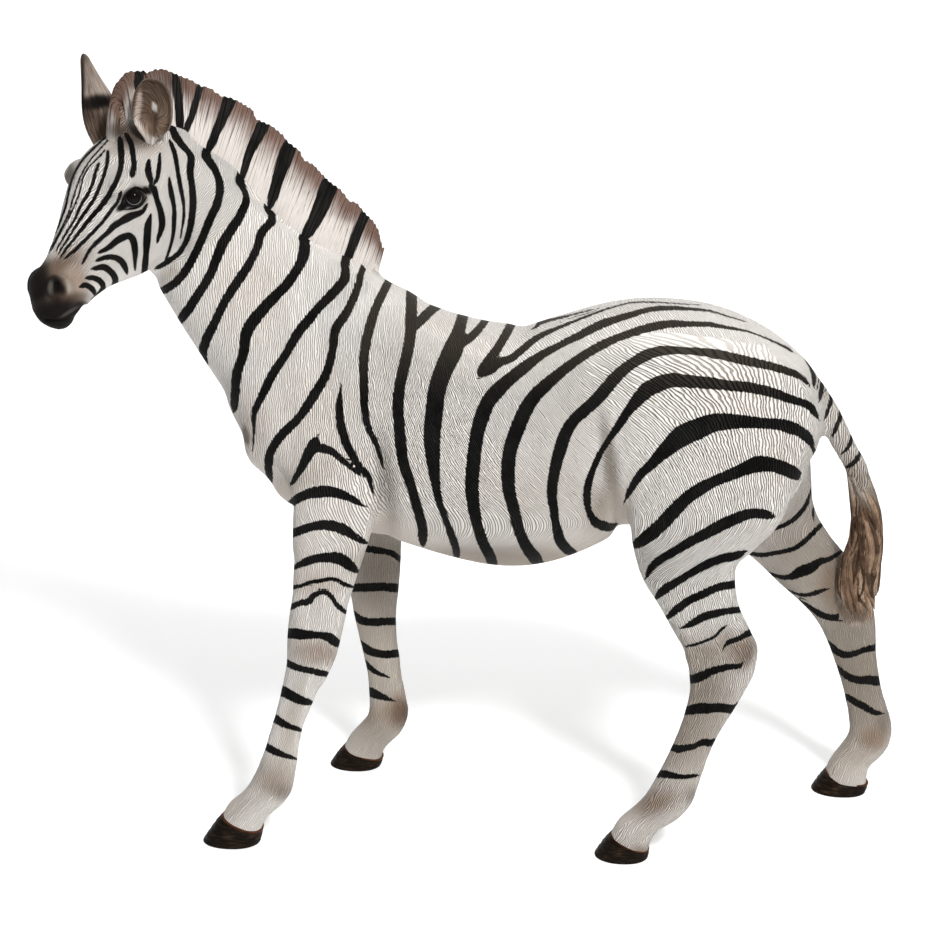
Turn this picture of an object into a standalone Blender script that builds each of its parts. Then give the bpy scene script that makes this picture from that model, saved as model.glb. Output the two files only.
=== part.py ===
"""Cast figure of a young zebra, walking, with its head turned to its left.

Frame: metres, +Z up, the head towards -X, the left side of the animal towards -Y.
The origin is the bottom centre of the bounding box, on the floor under the soles.

Pieces that are separate in the real figure:
  zebra      the painted casting: body, legs, hooves, ears, mane and tail in one
  eye_left   a glossy glass eye set into the left socket
  eye_right  the same eye in the right socket
"""
import math

import bmesh
import bpy
from mathutils import Matrix, Vector

# Driving sizes.
FIGURE_HEIGHT = 1.0      # floor to the tip of the right ear; all shares below are of this
BODY_GRID = 0.0052       # grid of the body before its muscles are blended, share of height
FINE_GRID = 0.0030       # grid that joins ears, mane, tail and hooves to the body
BODY_SMOOTH_COUNT = 9    # smoothing passes that blend the muscles
CAST_SMOOTH_COUNT = 2    # smoothing passes after the last joining
CAST_FACES = 8400        # triangles left in the casting
SOLE_DEPTH = 0.008       # the hooves are made this much too long and cut off flat
TRUNK_SQUARENESS = 2.15  # 2 is an ellipse, more is squarer
NECK_SQUARENESS = 2.1
CHEST_PINCH = 0.10       # share by which the underside of the trunk is narrower
HAIR_LINE_REACH = 0.2    # share that a hoof's slanting edge goes on past its two ends

HEAD_TURN = math.radians(43.0)     # head turned from the body's line towards its left
HEAD_SLOPE = math.radians(50.0)    # the face slopes down by this much
HEAD_TILT = math.radians(8.0)      # the left side of the head is the lower one
HEAD_AT = (-0.364, -0.061, 0.910)  # the poll, between the ears

EYE_RADIUS = 0.0105      # glass eye
EYE_PLACE = (0.0995, 0.0520, 0.0150)   # along the head, to the side, towards the forehead
EYE_GAP = 0.0003         # clearance between the glass and its socket, metres
EYE_FACES = 16           # segments around a glass eye

NOSTRIL_PLACE = (0.2420, 0.0300, 0.0150)
NOSTRIL_SIZE = (0.0125, 0.0080, 0.0085)

# Proportions.
# Each station is (x, y, z, half depth in the plane of the walk, half width across).
TRUNK = [
    (-0.298, 0.0, 0.566, 0.036, 0.036),
    (-0.281, 0.0, 0.570, 0.078, 0.070),
    (-0.250, 0.0, 0.574, 0.122, 0.095),
    (-0.200, 0.0, 0.570, 0.149, 0.112),
    (-0.148, 0.0, 0.562, 0.161, 0.120),
    (-0.102, 0.0, 0.544, 0.154, 0.128),
    (-0.045, 0.0, 0.5275, 0.151, 0.134),
    (0.018, 0.0, 0.512, 0.154, 0.139),
    (0.070, 0.0, 0.5075, 0.157, 0.140),
    (0.117, 0.0, 0.519, 0.149, 0.139),
    (0.169, 0.0, 0.5435, 0.1395, 0.134),
    (0.229, 0.0, 0.5625, 0.1365, 0.130),
    (0.285, 0.0, 0.569, 0.1275, 0.130),
    (0.335, 0.0, 0.563, 0.115, 0.126),
    (0.380, 0.0, 0.551, 0.098, 0.114),
    (0.420, 0.0, 0.539, 0.076, 0.092),
    (0.443, 0.0, 0.533, 0.046, 0.058),
    (0.452, 0.0, 0.531, 0.018, 0.024),
]
NECK = [
    (-0.120, 0.000, 0.575, 0.090, 0.060),
    (-0.170, -0.001, 0.617, 0.122, 0.080),
    (-0.216, -0.003, 0.657, 0.124, 0.079),
    (-0.261, -0.009, 0.700, 0.106, 0.068),
    (-0.297, -0.019, 0.745, 0.093, 0.060),
    (-0.328, -0.034, 0.792, 0.084, 0.054),
    (-0.352, -0.050, 0.838, 0.075, 0.049),
    (-0.370, -0.066, 0.882, 0.046, 0.036),
]
# Head stations: along the head from the poll, height of the face line, of the jaw
# line, and half the width, all in the head's own frame.
HEAD = [
    (-0.020, 0.004, -0.030, 0.026),
    (0.002, 0.029, -0.050, 0.042),
    (0.030, 0.043, -0.072, 0.047),
    (0.060, 0.059, -0.087, 0.0535),
    (0.090, 0.066, -0.100, 0.0565),
    (0.115, 0.064, -0.105, 0.054),
    (0.140, 0.057, -0.100, 0.0465),
    (0.165, 0.048, -0.083, 0.0385),
    (0.190, 0.040, -0.063, 0.0320),
    (0.215, 0.034, -0.051, 0.0290),
    (0.240, 0.034, -0.046, 0.0300),
    (0.258, 0.024, -0.043, 0.0285),
    (0.270, 0.010, -0.036, 0.0235),
    (0.2775, -0.006, -0.024, 0.012),
]
FORE_NEAR = [
    (-0.186, -0.056, 0.640, 0.040, 0.032),
    (-0.174, -0.069, 0.592, 0.056, 0.040),
    (-0.161, -0.080, 0.545, 0.064, 0.0415),
    (-0.152, -0.089, 0.498, 0.064, 0.0405),
    (-0.150, -0.097, 0.455, 0.055, 0.040),
    (-0.158, -0.102, 0.405, 0.048, 0.036),
    (-0.165, -0.106, 0.360, 0.041, 0.032),
    (-0.169, -0.109, 0.333, 0.037, 0.031),
    (-0.1755, -0.112, 0.300, 0.0355, 0.032),
    (-0.180, -0.114, 0.268, 0.0335, 0.031),
    (-0.187, -0.115, 0.239, 0.0285, 0.026),
    (-0.203, -0.117, 0.192, 0.0225, 0.0225),
    (-0.213, -0.119, 0.161, 0.0210, 0.0210),
    (-0.2215, -0.120, 0.128, 0.0220, 0.0222),
    (-0.230, -0.121, 0.096, 0.0250, 0.0265),
    (-0.240, -0.122, 0.072, 0.0265, 0.028),
    (-0.258, -0.122, 0.052, 0.0225, 0.0275),
    (-0.2745, -0.122, 0.0315, 0.0275, 0.0290),
    (-0.280, -0.122, 0.010, 0.0270, 0.0270),
]
FORE_FAR = [
    (-0.180, 0.056, 0.640, 0.040, 0.032),
    (-0.168, 0.069, 0.592, 0.056, 0.040),
    (-0.154, 0.080, 0.540, 0.064, 0.0415),
    (-0.142, 0.090, 0.485, 0.062, 0.0405),
    (-0.136, 0.099, 0.430, 0.053, 0.039),
    (-0.133, 0.106, 0.380, 0.045, 0.034),
    (-0.131, 0.112, 0.335, 0.038, 0.031),
    (-0.131, 0.116, 0.298, 0.036, 0.032),
    (-0.1325, 0.120, 0.262, 0.0335, 0.031),
    (-0.1315, 0.122, 0.225, 0.0290, 0.027),
    (-0.127, 0.124, 0.188, 0.0255, 0.024),
    (-0.121, 0.126, 0.150, 0.0245, 0.023),
    (-0.1175, 0.128, 0.115, 0.0255, 0.024),
    (-0.1155, 0.131, 0.086, 0.0275, 0.027),
    (-0.1205, 0.133, 0.065, 0.0265, 0.028),
    (-0.137, 0.134, 0.047, 0.0240, 0.0275),
    (-0.152, 0.134, 0.0255, 0.0270, 0.0290),
    (-0.156, 0.134, 0.008, 0.0270, 0.0270),
]
HIND_NEAR = [
    (0.330, -0.060, 0.575, 0.098, 0.050),
    (0.313, -0.078, 0.485, 0.103, 0.055),
    (0.2965, -0.088, 0.432, 0.084, 0.052),
    (0.290, -0.095, 0.390, 0.066, 0.045),
    (0.299, -0.100, 0.355, 0.052, 0.039),
    (0.311, -0.104, 0.322, 0.045, 0.034),
    (0.327, -0.107, 0.292, 0.043, 0.032),
    (0.336, -0.110, 0.266, 0.0435, 0.031),
    (0.332, -0.112, 0.238, 0.036, 0.029),
    (0.3225, -0.114, 0.208, 0.0295, 0.026),
    (0.311, -0.116, 0.178, 0.0250, 0.0235),
    (0.300, -0.118, 0.148, 0.0240, 0.0225),
    (0.2895, -0.120, 0.118, 0.0255, 0.0245),
    (0.280, -0.121, 0.094, 0.0275, 0.027),
    (0.269, -0.122, 0.074, 0.0265, 0.028),
    (0.246, -0.123, 0.053, 0.0205, 0.0270),
    (0.229, -0.123, 0.031, 0.0255, 0.0290),
    (0.222, -0.123, 0.009, 0.0260, 0.0270),
]
HIND_FAR = [
    (0.335, 0.060, 0.575, 0.098, 0.050),
    (0.352, 0.078, 0.484, 0.106, 0.054),
    (0.383, 0.085, 0.424, 0.080, 0.049),
    (0.415, 0.090, 0.376, 0.054, 0.043),
    (0.449, 0.094, 0.334, 0.0465, 0.038),
    (0.482, 0.097, 0.300, 0.044, 0.035),
    (0.503, 0.099, 0.268, 0.040, 0.033),
    (0.514, 0.100, 0.238, 0.0355, 0.031),
    (0.5215, 0.101, 0.205, 0.0300, 0.028),
    (0.530, 0.102, 0.172, 0.0265, 0.025),
    (0.538, 0.102, 0.140, 0.0258, 0.024),
    (0.546, 0.103, 0.112, 0.0275, 0.0255),
    (0.550, 0.104, 0.089, 0.0295, 0.028),
    (0.544, 0.104, 0.069, 0.0270, 0.028),
    (0.5285, 0.104, 0.0495, 0.0235, 0.0275),
    (0.520, 0.104, 0.0265, 0.0290, 0.0290),
    (0.517, 0.104, 0.008, 0.0280, 0.0270),
]
TAIL = [
    (0.398, 0.000, 0.606, 0.028, 0.030),
    (0.421, 0.000, 0.600, 0.0215, 0.025),
    (0.436, 0.000, 0.589, 0.0180, 0.020),
    (0.449, 0.001, 0.574, 0.0160, 0.017),
    (0.468, 0.005, 0.545, 0.0148, 0.0150),
    (0.485, 0.012, 0.512, 0.0138, 0.0142),
    (0.501, 0.020, 0.485, 0.0135, 0.0140),
    (0.512, 0.028, 0.450, 0.0150, 0.0150),
    (0.520, 0.035, 0.415, 0.0182, 0.0170),
    (0.522, 0.042, 0.379, 0.0210, 0.0185),
    (0.519, 0.050, 0.342, 0.0245, 0.0200),
    (0.517, 0.056, 0.306, 0.0255, 0.0200),
    (0.523, 0.062, 0.276, 0.0200, 0.0180),
]
# Mane stations: foot (x, y, z), top (x, y, z) and thickness at the foot.
MANE = [
    ((-0.409, -0.106, 0.902), (-0.407, -0.110, 0.944), 0.026),
    ((-0.399, -0.096, 0.914), (-0.399, -0.105, 0.964), 0.028),
    ((-0.384, -0.080, 0.918), (-0.388, -0.090, 0.981), 0.028),
    ((-0.362, -0.064, 0.908), (-0.358, -0.067, 0.984), 0.027),
    ((-0.338, -0.050, 0.893), (-0.326, -0.051, 0.967), 0.026),
    ((-0.309, -0.036, 0.867), (-0.280, -0.038, 0.947), 0.026),
    ((-0.274, -0.025, 0.840), (-0.245, -0.027, 0.916), 0.026),
    ((-0.239, -0.016, 0.806), (-0.210, -0.018, 0.888), 0.026),
    ((-0.199, -0.008, 0.771), (-0.166, -0.009, 0.846), 0.027),
    ((-0.152, -0.002, 0.740), (-0.128, -0.002, 0.809), 0.027),
    ((-0.124, 0.000, 0.722), (-0.104, 0.000, 0.782), 0.025),
    ((-0.110, 0.000, 0.716), (-0.0985, 0.000, 0.758), 0.022),
]
# Hooves: toe x, heel x, middle y, front and back top edge (x, z).
HOOF_HALF_WIDTH = 0.0300
HOOVES = [
    (-0.3285, -0.253, -0.123, (-0.2995, 0.039), (-0.2485, 0.019)),
    (-0.2005, -0.128, 0.135, (-0.1785, 0.0295), (-0.124, 0.012)),
    (0.180, 0.249, -0.122, (0.2025, 0.031), (0.2505, 0.011)),
    (0.473, 0.547, 0.106, (0.493, 0.030), (0.551, 0.013)),
]
# Muscles: middle (x, y, z), three half sizes and the turn about Y in degrees.
MUSCLES = [
    ("shoulder_left", (-0.196, -0.062, 0.560), (0.060, 0.044, 0.100), -24.0),
    ("shoulder_right", (-0.196, 0.062, 0.560), (0.060, 0.044, 0.100), -24.0),
    ("upper_arm_left", (-0.160, -0.084, 0.510), (0.068, 0.040, 0.070), 20.0),
    ("upper_arm_right", (-0.154, 0.084, 0.505), (0.068, 0.040, 0.070), 14.0),
    ("breast_left", (-0.240, -0.042, 0.532), (0.034, 0.042, 0.056), 14.0),
    ("breast_right", (-0.240, 0.042, 0.532), (0.034, 0.042, 0.056), 14.0),
    ("haunch_left", (0.322, -0.074, 0.545), (0.100, 0.058, 0.094), 8.0),
    ("haunch_right", (0.330, 0.074, 0.545), (0.104, 0.058, 0.094), -6.0),
    ("stifle_left", (0.262, -0.090, 0.478), (0.042, 0.036, 0.062), 24.0),
    ("stifle_right", (0.302, 0.088, 0.462), (0.052, 0.038, 0.070), 40.0),
    ("buttock_left", (0.384, -0.056, 0.508), (0.046, 0.050, 0.094), 18.0),
    ("buttock_right", (0.398, 0.056, 0.502), (0.050, 0.050, 0.098), -2.0),
]
# Ears: foot, tip, direction the opening faces, half width, outline number.
EAR_WALL = 0.0055
EAR_CUP = 0.018
EARS = [
    ((-0.355, -0.104, 0.890), (-0.351, -0.142, 0.974), (-0.05, -0.95, -0.10), 0.0265, 0),
    ((-0.424, -0.046, 0.880), (-0.4590, -0.055, 0.999), (-0.65, 0.70, -0.05), 0.0260, 1),
]
# Half width of an ear from its foot to its tip, as shares of the widest place.
EAR_OUTLINES = [
    [0.30, 0.52, 0.74, 0.90, 1.00, 1.00, 0.97, 0.88, 0.75, 0.54, 0.22],
    [0.70, 0.84, 0.94, 1.00, 0.98, 0.88, 0.73, 0.56, 0.42, 0.29, 0.15],
]


def clear_scene():
    """Remove what the file starts with."""
    for item in list(bpy.data.objects):
        bpy.data.objects.remove(item, do_unlink=True)


def make_collection(name):
    """A new collection under the scene."""
    group = bpy.data.collections.new(name)
    bpy.context.scene.collection.children.link(group)
    return group


def make_material(name, colour, roughness, coat=0.0):
    """A plain material for one piece."""
    finish = bpy.data.materials.new(name)
    finish.use_nodes = True
    shader = finish.node_tree.nodes["Principled BSDF"]
    shader.inputs["Base Color"].default_value = (*colour, 1.0)
    shader.inputs["Roughness"].default_value = roughness
    shader.inputs["Coat Weight"].default_value = coat
    finish.diffuse_color = (*colour, 1.0)
    return finish


def add_mesh(name, build, group):
    """Turn a bmesh into an object of the group and free it."""
    mesh = bpy.data.meshes.new(name)
    bmesh.ops.recalc_face_normals(build, faces=build.faces)
    build.to_mesh(mesh)
    build.free()
    item = bpy.data.objects.new(name, mesh)
    group.objects.link(item)
    return item


def between(stations, per_span):
    """Points on a smooth curve through the stations, with per_span steps in each span."""
    last = len(stations) - 1
    rows = []
    for index in range(last):
        before = stations[max(index - 1, 0)]
        start = stations[index]
        end = stations[index + 1]
        after = stations[min(index + 2, last)]
        for step in range(per_span):
            t = step / per_span
            row = []
            for a, b, c, d in zip(before, start, end, after):
                slope_b = (c - a) / 2.0
                slope_c = (d - b) / 2.0
                h1 = 2 * t ** 3 - 3 * t ** 2 + 1
                h2 = t ** 3 - 2 * t ** 2 + t
                h3 = -2 * t ** 3 + 3 * t ** 2
                h4 = t ** 3 - t ** 2
                row.append(h1 * b + h2 * slope_b + h3 * c + h4 * slope_c)
            rows.append(tuple(row))
    rows.append(tuple(stations[last]))
    return rows


def loft(name, rings, group):
    """A closed body through rings of equal length, its ends closed with a fan."""
    build = bmesh.new()
    rows = []
    for ring in rings:
        rows.append([build.verts.new(point) for point in ring])
    count = len(rows[0])
    for low, high in zip(rows, rows[1:]):
        for k in range(count):
            n = (k + 1) % count
            build.faces.new((low[k], low[n], high[n], high[k]))
    for row in (rows[0], rows[-1]):
        middle = sum((v.co for v in row), Vector()) / count
        hub = build.verts.new(middle)
        for k in range(count):
            build.faces.new((row[k], row[(k + 1) % count], hub))
    return add_mesh(name, build, group)


def limb(name, stations, group, around=28, squareness=2.2, low_pinch=0.0):
    """A tube along stations of (x, y, z, half depth, half width).

    low_pinch narrows the underside of each section, as on a keel-shaped chest.
    """
    rows = between(stations, 4)
    rings = []
    for index, (x, y, z, deep, wide) in enumerate(rows):
        ahead = Vector(rows[min(index + 1, len(rows) - 1)][:3])
        behind = Vector(rows[max(index - 1, 0)][:3])
        along = (ahead - behind).normalized()
        across = Vector((0.0, 1.0, 0.0))
        across = (across - along * across.dot(along)).normalized()
        out = along.cross(across)
        ring = []
        for k in range(around):
            angle = 2.0 * math.pi * k / around
            c = math.cos(angle)
            s = math.sin(angle)
            power = 2.0 / squareness
            u = math.copysign(abs(c) ** power, c)
            v = math.copysign(abs(s) ** power, s)
            pinch = 1.0 - low_pinch * max(0.0, -u)
            ring.append(Vector((x, y, z)) + out * (deep * u) + across * (wide * v * pinch))
        rings.append([point * FIGURE_HEIGHT for point in ring])
    return loft(name, rings, group)


def head_axes():
    """Directions along the head, to its left and towards its forehead."""
    turn_c = math.cos(HEAD_TURN)
    turn_s = math.sin(HEAD_TURN)
    slope_c = math.cos(HEAD_SLOPE)
    slope_s = math.sin(HEAD_SLOPE)
    along = Vector((-slope_c * turn_c, -slope_c * turn_s, -slope_s))
    brow = Vector((-slope_s * turn_c, -slope_s * turn_s, slope_c))
    left = Vector((turn_s, -turn_c, 0.0))
    tilt_c = math.cos(HEAD_TILT)
    tilt_s = math.sin(HEAD_TILT)
    return along, left * tilt_c - brow * tilt_s, brow * tilt_c + left * tilt_s


def head_point(along, left, brow):
    """A place in the head's own frame as a point of the figure, in shares of height."""
    axes = head_axes()
    return Vector(HEAD_AT) + axes[0] * along + axes[1] * left + axes[2] * brow


def make_head(group):
    """Skull and muzzle, narrower along the face line and between the jaws."""
    rings = []
    for u, top, bottom, wide in between(HEAD, 4):
        middle = (top + bottom) / 2.0
        deep = (top - bottom) / 2.0
        ring = []
        for k in range(36):
            angle = 2.0 * math.pi * k / 36
            c = math.cos(angle)
            s = math.sin(angle)
            n = math.copysign(abs(c) ** (0.90 if c > 0.0 else 0.82), c)
            side = math.copysign(abs(s) ** 0.94, s)
            slim = min(max((u - 0.10) / 0.08, 0.0), 1.0)
            narrow = 1.0 - (0.22 + 0.22 * slim) * max(0.0, c) - 0.28 * max(0.0, -c) ** 2
            ring.append(head_point(u, wide * side * narrow, middle + deep * n))
        rings.append([point * FIGURE_HEIGHT for point in ring])
    return loft("head", rings, group)


def ball(name, middle, half_sizes, group, turn=None, segments=28):
    """A stretched sphere; turn is a rotation matrix."""
    build = bmesh.new()
    bmesh.ops.create_uvsphere(build, u_segments=segments, v_segments=segments // 2, radius=1.0)
    grow = Matrix.Diagonal((*half_sizes, 1.0))
    spin = turn.to_4x4() if turn is not None else Matrix.Identity(4)
    place = Matrix.Translation(Vector(middle) * FIGURE_HEIGHT)
    bmesh.ops.transform(build, matrix=place @ spin @ (grow * FIGURE_HEIGHT), verts=build.verts)
    return add_mesh(name, build, group)


def make_muscles(group):
    """The rounded masses of shoulder, breast, haunch and buttock on both sides."""
    made = []
    for name, middle, sizes, turn in MUSCLES:
        spin = Matrix.Rotation(math.radians(turn), 3, "Y")
        made.append(ball(name, middle, sizes, group, spin))
    return made


def make_face_parts(group):
    """Brows, cheeks and the rims of the nostrils, in the head's frame."""
    along, left, brow = head_axes()
    axes = Matrix((along, left, brow)).transposed()
    made = []
    for side in (-1.0, 1.0):
        tag = "left" if side > 0 else "right"
        places = [
            ("brow", (0.098, 0.046, 0.034), (0.022, 0.0135, 0.0135)),
            ("lid", (0.100, 0.044, 0.013), (0.022, 0.0135, 0.017)),
            ("jowl", (0.100, 0.037, -0.042), (0.046, 0.016, 0.046)),
            ("nostril_rim", (0.238, 0.016, 0.008), (0.020, 0.0145, 0.020)),
            ("lip", (0.255, 0.010, -0.019), (0.015, 0.016, 0.016)),
        ]
        for name, (u, l, n), sizes in places:
            made.append(ball(name + "_" + tag, head_point(u, l * side, n), sizes, group, axes))
    return made


def make_mane(group):
    """The upright mane: a plate that follows the crest of the neck, thinner at its top."""
    flat = [(*foot, *top, thick) for foot, top, thick in MANE]
    rows = between(flat, 5)
    rings = []
    for index, row in enumerate(rows):
        foot = Vector(row[0:3])
        top = Vector(row[3:6])
        thick = row[6]
        ahead = Vector(rows[min(index + 1, len(rows) - 1)][:3])
        behind = Vector(rows[max(index - 1, 0)][:3])
        along = (ahead - behind).normalized()
        rise = top - foot
        side = along.cross(rise).normalized()
        ring = []
        shape = [(-0.12, 0.5), (0.25, 0.50), (0.60, 0.42), (0.85, 0.34), (0.96, 0.22)]
        for height, share in shape:
            ring.append(foot + rise * height + side * (thick * share))
        ring.append(top.copy())
        for height, share in reversed(shape):
            ring.append(foot + rise * height - side * (thick * share))
        rings.append([point * FIGURE_HEIGHT for point in ring])
    return loft("mane", rings, group)


def make_ear(name, foot, tip, facing, half_width, outline, group):
    """A leaf-shaped shell, open towards its facing side and pointed at the top."""
    foot = Vector(foot)
    tip = Vector(tip)
    rise = (tip - foot)
    length = rise.length
    rise.normalize()
    front = Vector(facing)
    front = (front - rise * front.dot(rise)).normalized()
    side = rise.cross(front)
    rings = []
    shares = EAR_OUTLINES[outline]
    last = len(shares) - 1
    for step, share in enumerate(shares):
        t = step / last
        wide = half_width * share
        deep = EAR_CUP * (0.35 + 0.65 * share) * (1.0 - 0.45 * t)
        wall = min(EAR_WALL, wide * 0.55)
        hollow = min(1.0, max(0.0, (t - 0.02) / 0.20))
        centre = foot + rise * (length * t) + front * (0.006 - 0.010 * t * t)
        ring = []
        for k in range(9):
            angle = math.radians(-90.0 + 180.0 * k / 8)
            ring.append(centre + side * (wide * math.sin(angle)) - front * (deep * math.cos(angle)))
        inner_wide = wide - wall * 0.5
        inner_deep = (deep - wall) * hollow
        for k in range(9):
            angle = math.radians(90.0 - 180.0 * k / 8)
            inward = inner_deep * math.cos(angle) - 0.0012
            ring.append(centre + side * (inner_wide * math.sin(angle)) - front * inward)
        rings.append([point * FIGURE_HEIGHT for point in ring])
    return loft(name, rings, group)


def make_hoof(name, toe, heel, y, front_edge, back_edge, group):
    """A hoof: a rounded sole that runs up and back to the slanting hair line."""
    low_middle = (toe + heel) / 2.0
    low_half = (heel - toe) / 2.0
    top_middle = (front_edge[0] + back_edge[0]) / 2.0
    top_half = (back_edge[0] - front_edge[0]) / 2.0
    levels = [-SOLE_DEPTH / FIGURE_HEIGHT, 0.0, 0.33, 0.66, 1.0, 1.22]
    rings = []
    for share in levels:
        ring = []
        inset = 0.0 if share <= 1.0 else 0.006
        for k in range(28):
            angle = 2.0 * math.pi * k / 28
            c = math.cos(angle)
            s = math.sin(angle)
            blunt = 0.86 if c > 0 else 1.0
            rise = max(share, 0.0)
            middle = low_middle + (top_middle - low_middle) * rise
            half = low_half + (top_half - low_half) * rise - inset
            wide = HOOF_HALF_WIDTH * (1.0 - 0.10 * rise) - inset
            x = middle + half * math.copysign(abs(c) ** blunt, c)
            edge = (x - front_edge[0]) / (back_edge[0] - front_edge[0])
            edge = min(max(edge, -HAIR_LINE_REACH), 1.0 + HAIR_LINE_REACH)
            top_z = front_edge[1] + (back_edge[1] - front_edge[1]) * edge
            z = top_z * share if share > 0.0 else (share if share < 0.0 else 0.0)
            ring.append(Vector((x, y + wide * math.copysign(abs(s) ** 0.92, s), z)))
        rings.append([point * FIGURE_HEIGHT for point in ring])
    return loft(name, rings, group)


def join_all(name, items, group):
    """One object from several, without cutting them."""
    build = bmesh.new()
    for item in items:
        build.from_mesh(item.data)
        bpy.data.objects.remove(item, do_unlink=True)
    mesh = bpy.data.meshes.new(name)
    build.to_mesh(mesh)
    build.free()
    joined = bpy.data.objects.new(name, mesh)
    group.objects.link(joined)
    return joined


def settle(item):
    """Replace an object's mesh by what its modifiers give."""
    graph = bpy.context.evaluated_depsgraph_get()
    graph.update()
    result = bpy.data.meshes.new_from_object(item.evaluated_get(graph))
    item.modifiers.clear()
    item.data = result


def fuse(item, grid, passes):
    """Merge overlapping bodies on a grid and smooth the joins."""
    remesh = item.modifiers.new("Fuse", "REMESH")
    remesh.mode = "VOXEL"
    remesh.voxel_size = grid * FIGURE_HEIGHT
    remesh.adaptivity = 0.0
    smooth = item.modifiers.new("Blend", "SMOOTH")
    smooth.factor = 0.5
    smooth.iterations = passes
    settle(item)


def keep_largest(item):
    """Drop stray islands, so that the casting is one closed body."""
    build = bmesh.new()
    build.from_mesh(item.data)
    build.verts.ensure_lookup_table()
    seen = set()
    islands = []
    for start in build.verts:
        if start.index in seen:
            continue
        seen.add(start.index)
        stack = [start]
        island = []
        while stack:
            vert = stack.pop()
            island.append(vert)
            for edge in vert.link_edges:
                other = edge.other_vert(vert)
                if other.index not in seen:
                    seen.add(other.index)
                    stack.append(other)
        islands.append(island)
    islands.sort(key=len, reverse=True)
    for island in islands[1:]:
        bmesh.ops.delete(build, geom=island, context="VERTS")
    build.to_mesh(item.data)
    build.free()


def thin_out(item, faces):
    """Reduce an object to about this many triangles."""
    item.data.calc_loop_triangles()
    have = len(item.data.loop_triangles)
    reduce = item.modifiers.new("Reduce", "DECIMATE")
    reduce.ratio = min(1.0, faces / have)
    settle(item)


def cut(item, tool, operation="DIFFERENCE"):
    """An exact Boolean with one tool object."""
    boolean = item.modifiers.new("Cut", "BOOLEAN")
    boolean.solver = "EXACT"
    boolean.operation = operation
    boolean.object = tool
    settle(item)


def hide_tool(tool):
    """Cutters stay in the file but are not rendered."""
    tool.hide_render = True
    tool.display_type = "WIRE"


def make_body(work):
    """Trunk, neck, head, legs and muscles, fused and smoothed."""
    parts = [
        limb("trunk", TRUNK, work, 40, TRUNK_SQUARENESS, CHEST_PINCH),
        limb("neck", NECK, work, 32, NECK_SQUARENESS),
        make_head(work),
        limb("fore_left", FORE_NEAR, work),
        limb("fore_right", FORE_FAR, work),
        limb("hind_left", HIND_NEAR, work),
        limb("hind_right", HIND_FAR, work),
        limb("dock", TAIL[:9], work),
    ]
    parts += make_muscles(work)
    parts += make_face_parts(work)
    body = join_all("body", parts, work)
    fuse(body, BODY_GRID, BODY_SMOOTH_COUNT)
    return body


def make_cast(work):
    """The whole casting before its sockets are cut."""
    parts = [make_body(work), make_mane(work), limb("tail", TAIL, work)]
    for number, hoof in enumerate(HOOVES):
        parts.append(make_hoof("hoof_%d" % number, *hoof, work))
    for number, ear in enumerate(EARS):
        parts.append(make_ear("ear_%d" % number, *ear, work))
    cast = join_all("zebra", parts, work)
    fuse(cast, FINE_GRID, CAST_SMOOTH_COUNT)
    keep_largest(cast)
    thin_out(cast, CAST_FACES)
    return cast


def make_floor_cutter(group):
    """A block under the floor, which trims the soles flat."""
    build = bmesh.new()
    bmesh.ops.create_cube(build, size=1.0)
    size = Matrix.Diagonal((2.0, 2.0, 0.2, 1.0)) * FIGURE_HEIGHT
    size[3][3] = 1.0
    place = Matrix.Translation((0.0, 0.0, -0.1 * FIGURE_HEIGHT))
    bmesh.ops.transform(build, matrix=place @ size, verts=build.verts)
    return add_mesh("floor_cutter", build, group)


def centre_on_floor(items):
    """Move all pieces so that the box around them stands centred on the origin."""
    lows = [min(v.co[axis] for item in items for v in item.data.vertices) for axis in range(3)]
    highs = [max(v.co[axis] for item in items for v in item.data.vertices) for axis in range(3)]
    shift = Vector((-(lows[0] + highs[0]) / 2.0, -(lows[1] + highs[1]) / 2.0, -lows[2]))
    for item in items:
        item.data.transform(Matrix.Translation(shift))


def main():
    """Build the figure and its two eyes."""
    clear_scene()
    figure = make_collection("zebra_figure")
    cutters = make_collection("cutters")
    cast = make_cast(cutters)
    floor = make_floor_cutter(cutters)
    hide_tool(floor)
    cut(cast, floor)
    along, left, brow = head_axes()
    axes = Matrix((along, left, brow)).transposed()
    eyes = []
    for side, tag in ((1.0, "left"), (-1.0, "right")):
        u, l, n = EYE_PLACE
        spot = head_point(u, l * side, n)
        radius = EYE_RADIUS
        socket_radius = radius + EYE_GAP / FIGURE_HEIGHT
        socket = ball("socket_" + tag, spot, (socket_radius,) * 3, cutters, axes, EYE_FACES)
        hide_tool(socket)
        cut(cast, socket)
        eye = ball("eye_" + tag, spot, (radius,) * 3, figure, axes, EYE_FACES)
        eyes.append(eye)
        u, l, n = NOSTRIL_PLACE
        hole = ball("nostril_" + tag, head_point(u, l * side, n), NOSTRIL_SIZE, cutters, axes, 14)
        hide_tool(hole)
        cut(cast, hole)
    cutters.objects.unlink(cast)
    figure.objects.link(cast)
    cast.data.materials.clear()
    cast.data.materials.append(make_material("painted_cast", (0.72, 0.70, 0.67), 0.55))
    glass = make_material("eye_glass", (0.010, 0.008, 0.007), 0.08, 1.0)
    for eye in eyes:
        eye.data.materials.append(glass)
        eye.data.shade_smooth()
    cast.data.shade_smooth()
    cast.data.set_sharp_from_angle(angle=math.radians(50.0))
    centre_on_floor([cast, *eyes])


if __name__ == "__main__":
    main()
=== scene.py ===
"""Zebra figurine: the look of a hand-painted cast statue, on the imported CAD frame.

The casting keeps the solid's form. Here its skin is made finer, carved where the photograph shows
carving, and painted. The mane, ears, hooves, tail tuft, eyes and eyelids are finer pieces that stand
where the solid has them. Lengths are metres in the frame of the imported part. Stripes are painted as
strokes in picture units, which are the pixels of the 925 by 925 photograph.
"""

import logging
import math
from dataclasses import dataclass, field
from enum import Enum
from typing import Callable, Iterable, Sequence

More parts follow.
